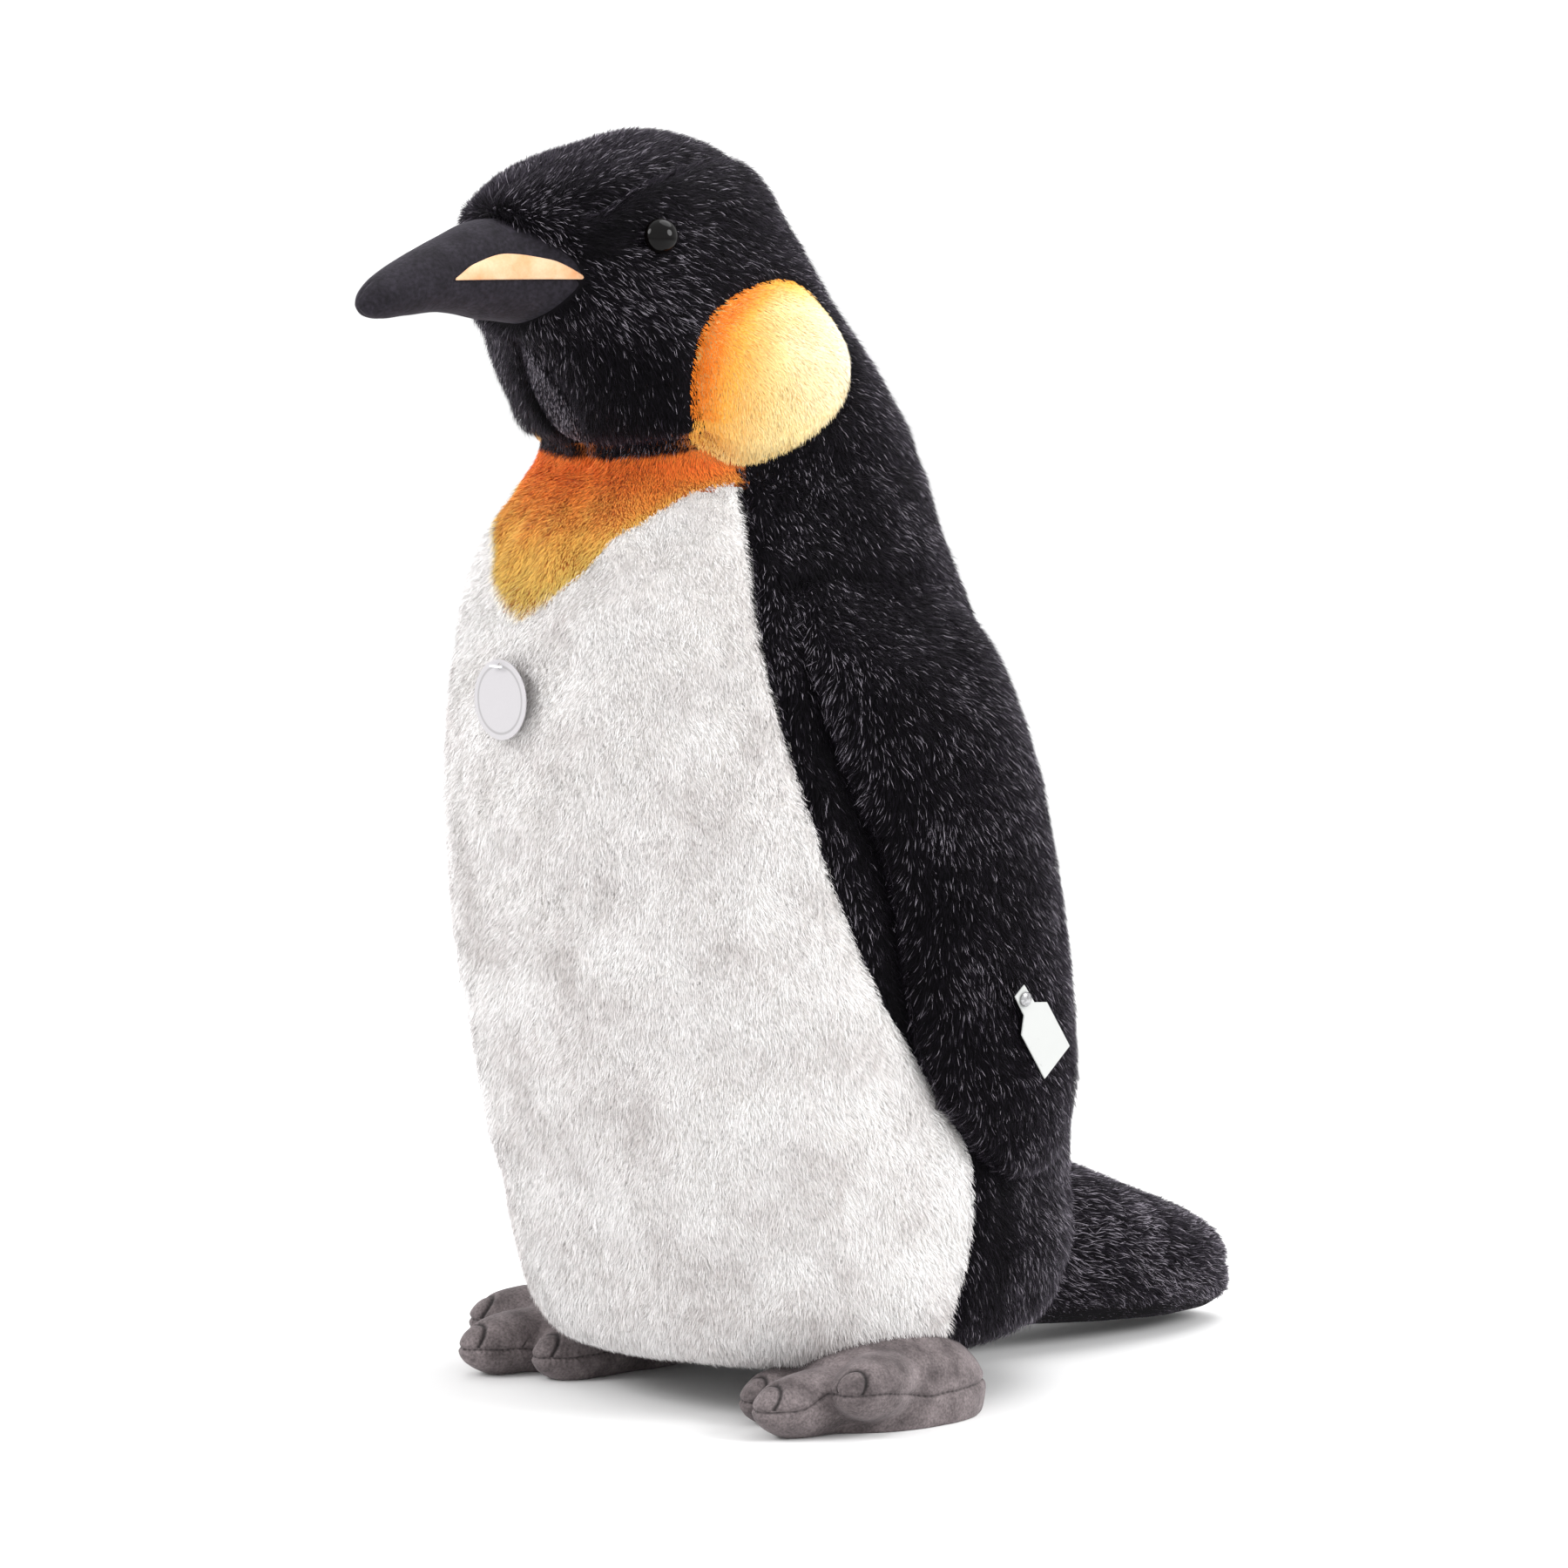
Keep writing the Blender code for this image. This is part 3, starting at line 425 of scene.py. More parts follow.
BLACK_CLOTH = cloth_material("black_backing", two_tone((0.002, 0.0015, 0.0025), (0.004, 0.003, 0.005)),
                             sheen=0.0, specular=0.1)
WHITE_CLOTH = cloth_material("white_backing", two_tone((0.74, 0.71, 0.68), (0.86, 0.84, 0.82)))
COLLAR_CLOTH = cloth_material("collar_backing", two_tone((0.50, 0.10, 0.02), (0.62, 0.20, 0.04)))
EAR_CLOTH = cloth_material("ear_backing", two_tone((0.92, 0.55, 0.16), (0.95, 0.68, 0.28)))
FIBRE = cloth_material("fibre_filling", two_tone((0.70, 0.70, 0.69), (0.86, 0.86, 0.85)),
                       scale=140.0, height=1.5 * MM)
BEAK_VELOUR = cloth_material("beak_velour", two_tone((0.010, 0.008, 0.012), (0.026, 0.022, 0.031)),
                             0.85, 0.10, (0.48, 0.44, 0.56), 480.0, 90.0, 0.6 * MM, specular=0.2, depth=0.35)
PEACH_VELOUR = cloth_material("peach_velour", [(0.3, (0.70, 0.33, 0.15)), (0.62, (0.76, 0.50, 0.31))],
                              0.8, 0.3, (1.0, 0.9, 0.8), 900.0, 70.0, 0.25 * MM, depth=0.90)
FOOT_VELOUR = cloth_material("foot_velour", two_tone((0.085, 0.069, 0.071), (0.250, 0.210, 0.214)),
                             0.85, 0.14, (0.85, 0.78, 0.80), 700.0, 60.0, 0.6 * MM, depth=0.50)


def repaint(obj, material):
    obj.data.materials.clear()
    obj.data.materials.append(material)


def dress(obj, material, replaces=(), body="penguin"):
    """Give a piece its material and body, and the CAD nodes that it stands for."""
    repaint(obj, material)
    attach(obj, body)
    if replaces:
        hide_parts(*replaces)
    return obj


def cut_covers(verts, faces, covers, material):
    """Padded covers cut from one surface: each one's name, its share of the faces, node and end cap."""
    for name, chosen, node, cap in covers:
        picked = [tuple(f) for f in faces[chosen]] + cap
        used = sorted({i for f in picked for i in f})
        index = {old: new for new, old in enumerate(used)}
        obj = mesh_from(name, verts[used], [[index[i] for i in f] for f in picked])
        dress(obj, material, [node])


def end_cap(rows, columns):
    """Triangles from a closed grid's last row to the vertex that follows the grid."""
    last = (rows - 1) * columns
    return [(last + i, last + (i + 1) % columns, rows * columns) for i in range(columns)]


# ---- pile: tapered strands rooted on a surface ----
def scatter(verts, triangles, normals, density, seed, weight=1.0):
    """Roots spread evenly over a surface, with the surface's normal at each."""
    rng = np.random.default_rng(seed)
    a, b, c = (verts[triangles[:, k]] for k in range(3))
    total = np.cumsum(np.linalg.norm(np.cross(b - a, c - a), axis=1) / 2 * weight)
    count = int(total[-1] * density * FEW)
    pick = np.searchsorted(total, (np.arange(count) + rng.random(count)) / count * total[-1])
    chosen = triangles[np.minimum(pick, len(triangles) - 1)]
    u, v = rng.random(count), rng.random(count)
    fold = u + v > 1
    u[fold], v[fold] = 1 - u[fold], 1 - v[fold]
    mix = [(1 - u - v)[:, None], u[:, None], v[:, None]]
    roots = sum(m * verts[chosen[:, k]] for k, m in enumerate(mix))
    outward = unit(sum(m * normals[chosen[:, k]] for k, m in enumerate(mix)))
    return roots, outward


STRANDS_A_PIECE = 64000


def strands(name, roots, normals, comb, length, lift, dye, material, body="penguin",
            width=0.38 * MM, seed=1, tuft=0.22, ruffle=0.35, floor=None):
    """Pile as tapered two-part strands; comb, length, lift and dye are given for each root."""
    rng = np.random.default_rng(seed)
    count = len(roots)
    comb = unit(comb - (comb * normals).sum(1)[:, None] * normals)
    across = np.cross(normals, comb)
    swirl = ruffle * (0.9 * noise(roots, 16 * MM, seed + 3) + 0.6 * noise(roots, 6 * MM, seed + 4)
                      + 0.5 * rng.normal(size=count))
    comb = comb * np.cos(swirl)[:, None] + across * np.sin(swirl)[:, None]
    across = np.cross(normals, comb)
    lift = lift * (1 + ruffle * (0.6 * noise(roots, 11 * MM, seed + 5) + 0.4 * rng.normal(size=count)))
    lift = np.clip(lift, 0.04, 1.35)
    length = length * (1 + 0.16 * rng.normal(size=count)).clip(0.55, 1.5)
    first = normals * np.sin(lift)[:, None] + comb * np.cos(lift)[:, None]
    late = 0.45 * lift
    second = normals * np.sin(late)[:, None] + comb * np.cos(late)[:, None]
    start = roots - normals * 0.4 * MM
    knee = start + first * (length * 0.5)[:, None]
    tip = knee + second * (length * 0.5)[:, None]
    for scale, share in ((5 * MM, 0.6), (13 * MM, 0.4)):
        pull = nearest_tuft(roots, scale, seed + 11) - roots
        pull -= (pull * normals).sum(1)[:, None] * normals
        tip += pull * (tuft * share)
        knee += pull * (tuft * share * 0.35)
    twist = rng.normal(size=count) * 0.45
    side = across * np.cos(twist)[:, None] + normals * np.sin(twist)[:, None]
    half = (0.5 * width / (FEW**0.5) * (0.75 + 0.5 * rng.random(count)))[:, None] * side
    points = np.stack([start - half, start + half, knee - half * 0.85, knee + half * 0.85, tip], axis=1)
    if floor is not None:
        points[..., 2] = np.maximum(points[..., 2], floor)
    tilt = normals + 0.30 * rng.normal(size=(count, 3))
    shade = unit(np.stack([tilt - 0.6 * side, tilt + 0.6 * side, tilt - 0.6 * side, tilt + 0.6 * side, tilt],
                          axis=1))
    pieces = max(1, math.ceil(count / STRANDS_A_PIECE))
    for number, part in enumerate(np.array_split(np.arange(count), pieces)):
        label = name if pieces == 1 else "%s_%d" % (name, number + 1)
        dress(strand_object(label, points[part], shade[part], dye[part]), material, body=body)


def strand_object(name, points, shade, dye):
    """Strands as a quad and a triangle each, with dye and height up the strand in their UVs."""
    count = len(points)
    mesh = bpy.data.meshes.new(name)
    mesh.vertices.add(count * 5)
    mesh.vertices.foreach_set("co", points.astype(np.float32).ravel())
    base = (np.arange(count) * 5)[:, None]
    corners = (base + np.array([1, 0, 2, 3, 3, 2, 4])).ravel()
    mesh.loops.add(count * 7)
    mesh.loops.foreach_set("vertex_index", corners.astype(np.int32))
    starts = (np.arange(count) * 7)[:, None] + np.array([0, 4])
    mesh.polygons.add(count * 2)
    mesh.polygons.foreach_set("loop_start", starts.ravel().astype(np.int32))
    mesh.update(calc_edges=True)
    mesh.shade_smooth()
    layer = mesh.uv_layers.new(name="OFBake")
    along = np.array([0.0, 0.0, 0.55, 0.55, 1.0])
    uv = np.stack([np.repeat(dye, 5), np.tile(along, count)], axis=1)
    layer.uv.foreach_set("vector", np.clip(uv[corners], 0.004, 0.996).astype(np.float32).ravel())
    normal = mesh.attributes.new("custom_normal", "FLOAT_VECTOR", "POINT")
    normal.data.foreach_set("vector", shade.astype(np.float32).ravel())
    return link(name, mesh)


# ---- body ----
WING = [(0.1275, 0.016, 0.030), (0.1330, 0.002, 0.046), (0.1510, -0.018, 0.059),
        (0.1740, -0.040, 0.064), (0.2120, -0.058, 0.066), (0.2600, -0.066, 0.062),
        (0.3020, -0.076, 0.054), (0.3370, -0.092, 0.048), (0.3780, -0.106, 0.038),
        (0.4100, -0.112, 0.026), (0.4300, -0.110, 0.008), (0.4420, -0.098, -0.016)]   # z, front y, rear y
BEAK = [      # y, axis z, half height, half width
    (-0.160, 0.604, 0.0280, 0.0530), (-0.185, 0.604, 0.0280, 0.0530), (-0.200, 0.605, 0.0280, 0.0450),
    (-0.215, 0.6055, 0.0270, 0.0350), (-0.230, 0.606, 0.0255, 0.0280), (-0.258, 0.6030, 0.0185, 0.0205),
    (-0.280, 0.5975, 0.0145, 0.0165), (-0.295, 0.5930, 0.0115, 0.0130),
    (-0.3040, 0.5905, 0.0075, 0.0080), (-0.3085, 0.5895, 0.0030, 0.0030)]
FOOT_X, FOOT_Y, FOOT_Z = 0.112, -0.050, 0.010
SHOULDER_Z = 0.447               # the fold over the wings
BELLY_TOP = 0.50                 # the belly's seam, lumps and folds end here
CHEEK = np.array([0.07, -0.175, 0.585])     # fullest place of the left cheek
JAW_SHADE = np.array([0.06, 0.16, 0.540])         # the place of painted shade under it, as distances from the middle


def wing_shadow(p):
    """1 where a wing lies on the body and presses its pile, 0 elsewhere."""
    front, rear = wing_edges(p[:, 2])
    inside = np.minimum(p[:, 1] - front, rear - p[:, 1])
    along = np.minimum(p[:, 2] - WING[0][0], WING[-1][0] - p[:, 2])
    return step_up(np.minimum(inside, along), -3 * MM, 5 * MM) * (np.abs(p[:, 0]) > 0.05)


def shoulder_crease(p):
    """1 along the soft fold where a wing's pull meets the shoulder."""
    along = step_up(p[:, 1], -0.132, -0.112) * (1 - step_up(p[:, 1], -0.045, -0.005))
    above = p[:, 2] - SHOULDER_Z + 3 * MM * np.sin(p[:, 1] * 90)
    return bump(above, 5 * MM) * along * (np.abs(p[:, 0]) > 0.04)


def wing_edges(z):
    return smooth_between(WING, 1, z), smooth_between(WING, 2, z)


def body_relief(p, d):
    """How far the cloth stands out from its even depth: seams, folds, dimples and soft lumps."""
    x, y, z = p[:, 0], p[:, 1], p[:, 2]
    relief = 1.6 * MM * noise(p, 0.075, 21) + 0.7 * MM * noise(p, 0.030, 22)
    relief += 2.0 * MM * noise(p * np.array([1, 1, 2.4]), 0.070, 23) * (z < BELLY_TOP)
    relief += 4.0 * MM * bump(np.linalg.norm((p - BROW) / np.array([1.6, 1, 1]), axis=1), 17 * MM)
    root = np.maximum(np.hypot(x / 0.050, (z - 0.604) / 0.029) - 1, 0) * 0.030
    relief += 5.0 * MM * bump(root, 9 * MM) * step_up(-y, 0.150, 0.180)
    relief += np.where(d["ear"] > 0, 4.5 * MM * (1 - np.exp(-np.maximum(d["ear"], 0) / 0.011)), 0.0)
    relief -= 2.6 * MM * bump(d["ear"], 4 * MM)
    relief -= 3.2 * MM * bump(d["belly"], 4.5 * MM) * (z < BELLY_TOP) * (z > 0.05) * (d["collar"] < 0)
    relief -= 4.2 * MM * bump(d["crown"], 3.6 * MM) * step_up(z, 0.630, 0.640)
    relief -= 3.4 * MM * bump(d["throat"], 2.6 * MM)
    crease = smooth_between(sorted(COLLAR_TOP), 1, np.abs(x))
    clear_of_ear = 1 - step_up(d["ear"], -3 * MM, 1 * MM)
    relief -= 6.5 * MM * bump(z - crease, 4.5 * MM) * (y < COLLAR_BACK_Y) * clear_of_ear
    relief -= 2.4 * MM * shoulder_crease(p)
    chest = step_up(-y, 0.10, 0.15)
    relief += 2.2 * MM * chest * bump(z - 0.468, 0.020) * np.sin(np.abs(x) * 150 + (z - 0.468) * 90)
    relief -= 2.0 * MM * bump(x, 3 * MM) * (y > 0) * (z < 0.60)
    for side in (1, -1):
        reach = np.linalg.norm(p - eye_centre(side), axis=1)
        relief -= 2.2 * MM * bump(reach, 13 * MM)
    return relief


def build_body():
    """One grid over the whole body: the form's vertices, the skin's, the skin's normals and the faces."""
    angles = np.linspace(-math.pi, math.pi, 300, endpoint=False)
    levels = np.concatenate([np.linspace(0.020, 0.600, 210), np.linspace(0.602, 0.674, 36)])
    level_grid, angle_grid = np.meshgrid(levels, angles, indexing="ij")
    grid = form_point(angle_grid, level_grid)
    top = grid[-1]
    caps = []
    for t in (0.12, 0.26, 0.42, 0.60, 0.80, 0.98):
        ring = top + (CROWN - top) * t
        ring[:, 2] = top[:, 2] + (CROWN[2] - top[:, 2]) * math.sin(t * math.pi / 2)
        caps.append(ring)
    floor = grid[0]
    centre = floor.mean(axis=0)
    under = [floor + (centre - floor) * t for t in (0.97, 0.75, 0.5, 0.25, 0.08)]
    grid = np.concatenate([np.stack(under), grid, np.stack(caps)])
    flat, out = grid.reshape(-1, 3), grid_normals(grid, True).reshape(-1, 3)
    d = seam_distances(flat)
    depth = SKIN_DEPTH - np.where(d["ear"] > 0, 2.0 * MM, 0.0)
    skin = flat - out * (depth - body_relief(flat, d))[:, None]
    normals = grid_normals(skin.reshape(grid.shape), True).reshape(-1, 3)
    return flat, skin, normals, grid_faces(*grid.shape[:2], True)


form_verts, skin_verts, skin_normals, skin_faces = build_body()


def panel(name, chosen, material, node):
    """The chosen faces of the body's skin as a piece of their own."""
    used, index = np.unique(skin_faces[chosen], return_inverse=True)
    return dress(mesh_from(name, skin_verts[used], index.reshape(-1, 4)), material, [node])


def build_panels():
    middle = form_verts[skin_faces].mean(axis=1)
    region = region_of(seam_distances(middle))
    left = middle[:, 0] > 0
    side, ear = region == REGIONS.index("side"), region == REGIONS.index("ear")
    for word, here in (("left", left), ("right", ~left)):
        coat = panel("coat_" + word, side & here, BLACK_CLOTH, "side_and_back_panel_" + word)
        panel("ear_cloth_" + word, ear & here, EAR_CLOTH, "ear_patch_" + word)
    for name, node, material, slot in (
            ("belly", "belly_panel", WHITE_CLOTH, "white_pile"),
            ("collar", "collar_and_bib", COLLAR_CLOTH, "orange_pile"),
            ("throat", "throat_gusset", BLACK_CLOTH, "black_pile"),
            ("crown", "crown_gusset", BLACK_CLOTH, "black_pile"),
            ("base", "base_panel", BLACK_CLOTH, "black_pile")):
        panel(name + "_cloth", region == REGIONS.index(name), material, node)


def comb_direction(p):
    """Pile runs back over the head and down the body."""
    head = step_up(p[:, 2], 0.53, 0.60)
    front = step_up(-p[:, 1], 0.05, 0.20) * head
    flow = np.zeros_like(p)
    flow[:, 0] = 0.25 * np.sign(p[:, 0]) * front
    flow[:, 1] = 0.12 + 1.0 * head
    flow[:, 2] = -1.0 + 0.30 * front
    return flow


def in_beak(p, margin):
    """True where a point of the skin lies under the beak's root."""
    rows = np.array(BEAK)
    height, high, wide = (np.interp(-p[:, 1], -rows[:, 0], rows[:, k]) for k in (1, 2, 3))
    reach = np.hypot(p[:, 0] / (wide + margin), (p[:, 2] - height) / (high + margin))
    return (reach < 1) & (p[:, 1] < -0.12)


def collar_dye(p, rng):
    """Red-orange under the chin, through gold at the bib's tip, to white at its far edge."""
    crease = smooth_between(sorted(COLLAR_TOP), 1, np.abs(p[:, 0]))
    fall = np.clip((crease - p[:, 2]) / 0.080, 0, 1)
    edge = signed_distance(p[:, (0, 2)], COLLAR)
    dye = 0.06 + 0.72 * fall**0.8 + 0.10 * (1 - step_up(edge, 0, 8 * MM))
    dye += 0.05 * noise(p, 9 * MM, 71) + 0.04 * rng.normal(size=len(p))
    fade = 1 - step_up(edge, -1 * MM, 9 * MM)
    low = 1 - step_up(p[:, 2], 0.488, 0.500)
    return np.clip(dye + fade * low * (p[:, 0] < 0) * (1 - dye), 0, 1)


def ear_dye(p, rng):
    """Orange along its front and top edges, cream towards the back, golden below."""
    edge = signed_distance(p[:, 1:], EAR)
    across = np.clip((p[:, 1] + 0.149) / 0.112, 0, 1)
    down = np.clip((0.602 - p[:, 2]) / 0.097, 0, 1)
    front = 1 - step_up(across, 0.0, 0.55)
    rim = 1 - step_up(edge, 0, 14 * MM)
    dye = 0.50 + 0.42 * across * np.sin(down * math.pi)**0.5 - 0.42 * front * (1 - 0.75 * down**3)
    dye -= 0.30 * rim * (1 - across) * (down < 0.75) + 0.22 * rim * (down < 0.25)
    return np.clip(dye + 0.05 * noise(p, 15 * MM, 72) + 0.04 * rng.normal(size=len(p)), 0, 1)


def black_dye_and_painted_light(p, rng, tone_and_painted_light=0.0):
    """Mostly near black with random tone, plus painted light: greyer to the rear as a painted sheen, painted
    shade in the shoulder's crease, and a few strands dyed bright as painted glints.
    """
    # painted sheen greys the rear; painted shade darkens the shoulder's crease
    tone_and_painted_light = tone_and_painted_light + 0.12 * step_up(p[:, 1], -0.02, 0.08) - 0.30 * shoulder_crease(p)
    return np.clip(0.40 + 0.16 * noise(p, 22 * MM, 73) + 0.30 * rng.normal(size=len(p)) + tone_and_painted_light, 0, 1)


LOOKS = {       # strands per square metre, dye, slot, length in mm, lift, ruffle, width in mm, tuft
    "side": (1.25e6, "black", "black_pile", 6.2, 0.95, 0.42, 0.34, 0.20),
    "belly": (1.55e6, "white", "white_pile", 5.2, 1.10, 0.42, 0.32, 0.16),
    "collar": (2.4e6, "collar", "orange_pile", 5.0, 0.85, 0.35, 0.38, 0.10),
    "ear": (3.2e6, "ear", "yellow_pile", 3.4, 0.80, 0.30, 0.38, 0.04),
    "throat": (2.6e6, "black", "black_pile", 3.0, 1.00, 0.25, 0.30, 0.06),
    "crown": (1.6e6, "black", "black_pile", 6.2, 0.95, 0.38, 0.34, 0.20),
    "base": (0.35e6, "black", "black_pile", 6.0, 0.40, 0.45, 0.40, 0.20),
}
EYE_CLEAR = 8.6 * MM             # no pile this near an eye's centre
FOOT_CLEAR, FOOT_TOP = 0.040, 0.030     # nor this near a foot's middle, below this height


def build_body_pile():
    triangles = to_triangles(skin_faces)
    most = max(look[0] for look in LOOKS.values())
    region = region_of(seam_distances(form_verts[triangles].mean(axis=1)))
    weight = np.array([LOOKS[name][0] / most for name in REGIONS])[region]
    roots, normals = scatter(skin_verts, triangles, skin_normals, most, 5, weight)
    keep = ~in_beak(roots, 0.5 * MM)
    for side in (1, -1):
        keep &= np.linalg.norm(roots - eye_centre(side), axis=1) > EYE_CLEAR
    from_foot = np.hypot(np.abs(roots[:, 0]) - FOOT_X, roots[:, 1] - FOOT_Y)
    keep &= ~((from_foot < FOOT_CLEAR) & (roots[:, 2] < FOOT_TOP))
    roots, normals = roots[keep], normals[keep]
    d = seam_distances(roots)
    region = region_of(d)
    rng = np.random.default_rng(6)
    comb = comb_direction(roots)
    cheek = bump(np.linalg.norm(roots - CHEEK, axis=1), 0.028)
    pressed = wing_shadow(roots)
    near_eye = sum(bump(np.linalg.norm(roots - eye_centre(side), axis=1), 16 * MM) for side in (1, -1))
    brow = bump(np.linalg.norm((roots - BROW) / np.array([1.5, 1, 1]), axis=1), 18 * MM)
    for number, name in enumerate(REGIONS):
        at = region == number
        p = roots[at]
        _, dye_name, slot, length, lift, ruffle, width, tuft = LOOKS[name]
        length = np.full(len(p), length * MM)
        lift = np.full(len(p), lift)
        length *= 1 - 0.35 * pressed[at] - 0.35 * np.clip(near_eye[at], 0, 1)
        lift *= 1 - 0.80 * pressed[at]
        if name != "ear":
            length *= 1 - 0.7 * bump(d["ear"][at], 5 * MM)
        lift *= 1 + 0.25 * cheek[at] + 0.35 * brow[at]
        length *= 1 + 0.45 * brow[at] + 0.25 * cheek[at]
        if dye_name == "black":
            # painted shade along the crown's and throat's seams
            seam = sum(bump(d[word][at], 3.5 * MM) for word in ("crown", "throat"))
            jaw_shade = bump(np.linalg.norm(np.abs(p) - JAW_SHADE, axis=1), 38 * MM)
            # painted shade in the gap in front of each wing's front edge
            wing_gap_shade = bump(p[:, 1] - wing_edges(p[:, 2])[0] + 5 * MM, 8 * MM)
            wing_gap_shade *= step_up(0.40 - p[:, 2], 0, 0.04)
            # painted highlight on the fullest cheek; painted shade under it, along the seams and beside the
            # wings
            tone_and_painted_light = 0.12 * cheek[at] - 0.20 * jaw_shade - 0.45 * seam - 0.35 * wing_gap_shade
            dye = black_dye_and_painted_light(p, rng, tone_and_painted_light + (0.36 if name == "throat" else 0.0))
        elif dye_name == "white":
            dye = np.clip(0.50 + 0.34 * noise(p, 28 * MM, 74) + 0.22 * noise(p, 5 * MM, 75)
                          + 0.16 * rng.normal(size=len(p)), 0, 1)
        elif dye_name == "collar":
            dye = collar_dye(p, rng)
        else:
            dye = ear_dye(p, rng)
        strands("pile_" + name, p, normals[at], comb[at], length, lift, dye, PILE[dye_name],
                seed=30 + number, ruffle=ruffle, width=width * MM, tuft=tuft, floor=0.012)


build_panels()
build_body_pile()


# ---- fillings and other inner pieces ----
def filling(node, inset):
    """Loose fibre inside a piece, a little smaller than the CAD's solid."""
    bm = bmesh.new()
    bm.from_mesh(NODES[node].data)
    bmesh.ops.remove_doubles(bm, verts=bm.verts, dist=1e-5)
    bm.normal_update()
    for vert in bm.verts:
        vert.co -= vert.normal * inset
    mesh = bpy.data.meshes.new("filling_" + node)
    bm.to_mesh(mesh)
    bm.free()
    mesh.shade_smooth()
    dress(link("filling_of_" + node, mesh), FIBRE, [node])


def loft_filling(node, low, high, inset):
    """Loose fibre shaped like the body's form between two heights."""
    around = np.linspace(0, 2 * math.pi, 96)[:-1]
    z, angle = np.meshgrid(np.linspace(low, high, 40), around, indexing="ij")
    points = form_point(angle, z)
    middle = points.mean(axis=1, keepdims=True)
    reach = np.linalg.norm(points - middle, axis=2, keepdims=True)
    ends = np.sin(np.linspace(0.15, math.pi - 0.15, 40))[:, None, None]**0.4
    points = middle + (points - middle) * np.maximum(0.1, 1 - inset / reach) * ends
    points[..., 2] += 1.5 * MM * noise(points.reshape(-1, 3), 12 * MM, 15).reshape(z.shape)
    close_loft(points, node, "penguin")


def close_loft(points, node, body):
    """A stuffing skin from rings of points, with both ends closed."""
    rows, columns = points.shape[:2]
    faces = [tuple(face) for face in grid_faces(rows, columns, True)]
    faces += [tuple(range(columns))[::-1], tuple(range((rows - 1) * columns, rows * columns))]
    dress(mesh_from("filling_of_" + node, points.reshape(-1, 3), faces), FIBRE, [node], body)


def build_inner_pieces():
    filling("body_stuffing", 13 * MM)
    loft_filling("head_stuffing", 0.530, 0.640, 24 * MM)
    filling("beak_stuffing", 2.5 * MM)
    filling("tail_stuffing", 4 * MM)
    canvas = cloth_material("bag_canvas", two_tone((0.50, 0.45, 0.37), (0.62, 0.57, 0.48)), scale=420.0)
    repaint(NODES["weight_bag"], canvas)


build_inner_pieces()


# ---- wings ----
WING_THICK, WING_GAP = 27 * MM, 1.2 * MM
WING_ROWS, WING_COLUMNS = 130, 44           # the columns are those of the outer face
LABEL_Y, LABEL_Z, LABEL_CLEAR = -0.012, 0.226, 3.5 * MM     # no pile under the label's button


def wing_x(y, z):
    """The body's side face that a wing lies against."""
    middle, depth, half, power = form_section(z)
    share = np.minimum(0.97, np.abs((y - middle) / depth))
    return half * (1 - share**power)**(1 / power) - 3 * MM


def wing_grid():
    """Points round each level of a wing: its outer face from front to rear, then its inner face back."""
    along = np.linspace(0, 1, WING_ROWS)
    z = WING[0][0] + (WING[-1][0] - WING[0][0]) * along
    t = np.cos(np.linspace(0, math.pi, WING_COLUMNS))
    loop = np.concatenate([-t, t[1:-1]])            # front to rear and back again
    outer = (np.arange(len(loop)) < WING_COLUMNS)[None, :]
    zz, tt = np.meshgrid(z, loop, indexing="ij")
    front, rear = wing_edges(zz)
    y = front + (rear - front) * (tt + 1) / 2
    share = (zz - WING[0][0]) / (WING[-1][0] - WING[0][0])
    ends = np.minimum(1, share / 0.16)**0.5 * step_up(1 - share, -0.05, 0.26)
    puff = (WING_THICK + 1.0 * MM) * np.maximum(0, 1 - np.abs(tt)**2.4)**0.68 * np.maximum(0, ends)
    sunk = 11 * MM * step_up(share, 0.86, 1.0)
    inner = wing_x(y, zz) + WING_GAP + 0.6 * MM - sunk
    x = np.where(outer, inner + 1.2 * MM + puff, inner)
    points = np.stack([x, y, zz], axis=-1)
    lumps = 1.0 * MM * noise(points.reshape(-1, 3), 0.045, 41).reshape(x.shape)
    points[..., 0] += np.where(outer, lumps * np.sqrt(np.clip(puff / WING_THICK, 0, 1)), 0.0)
    return points


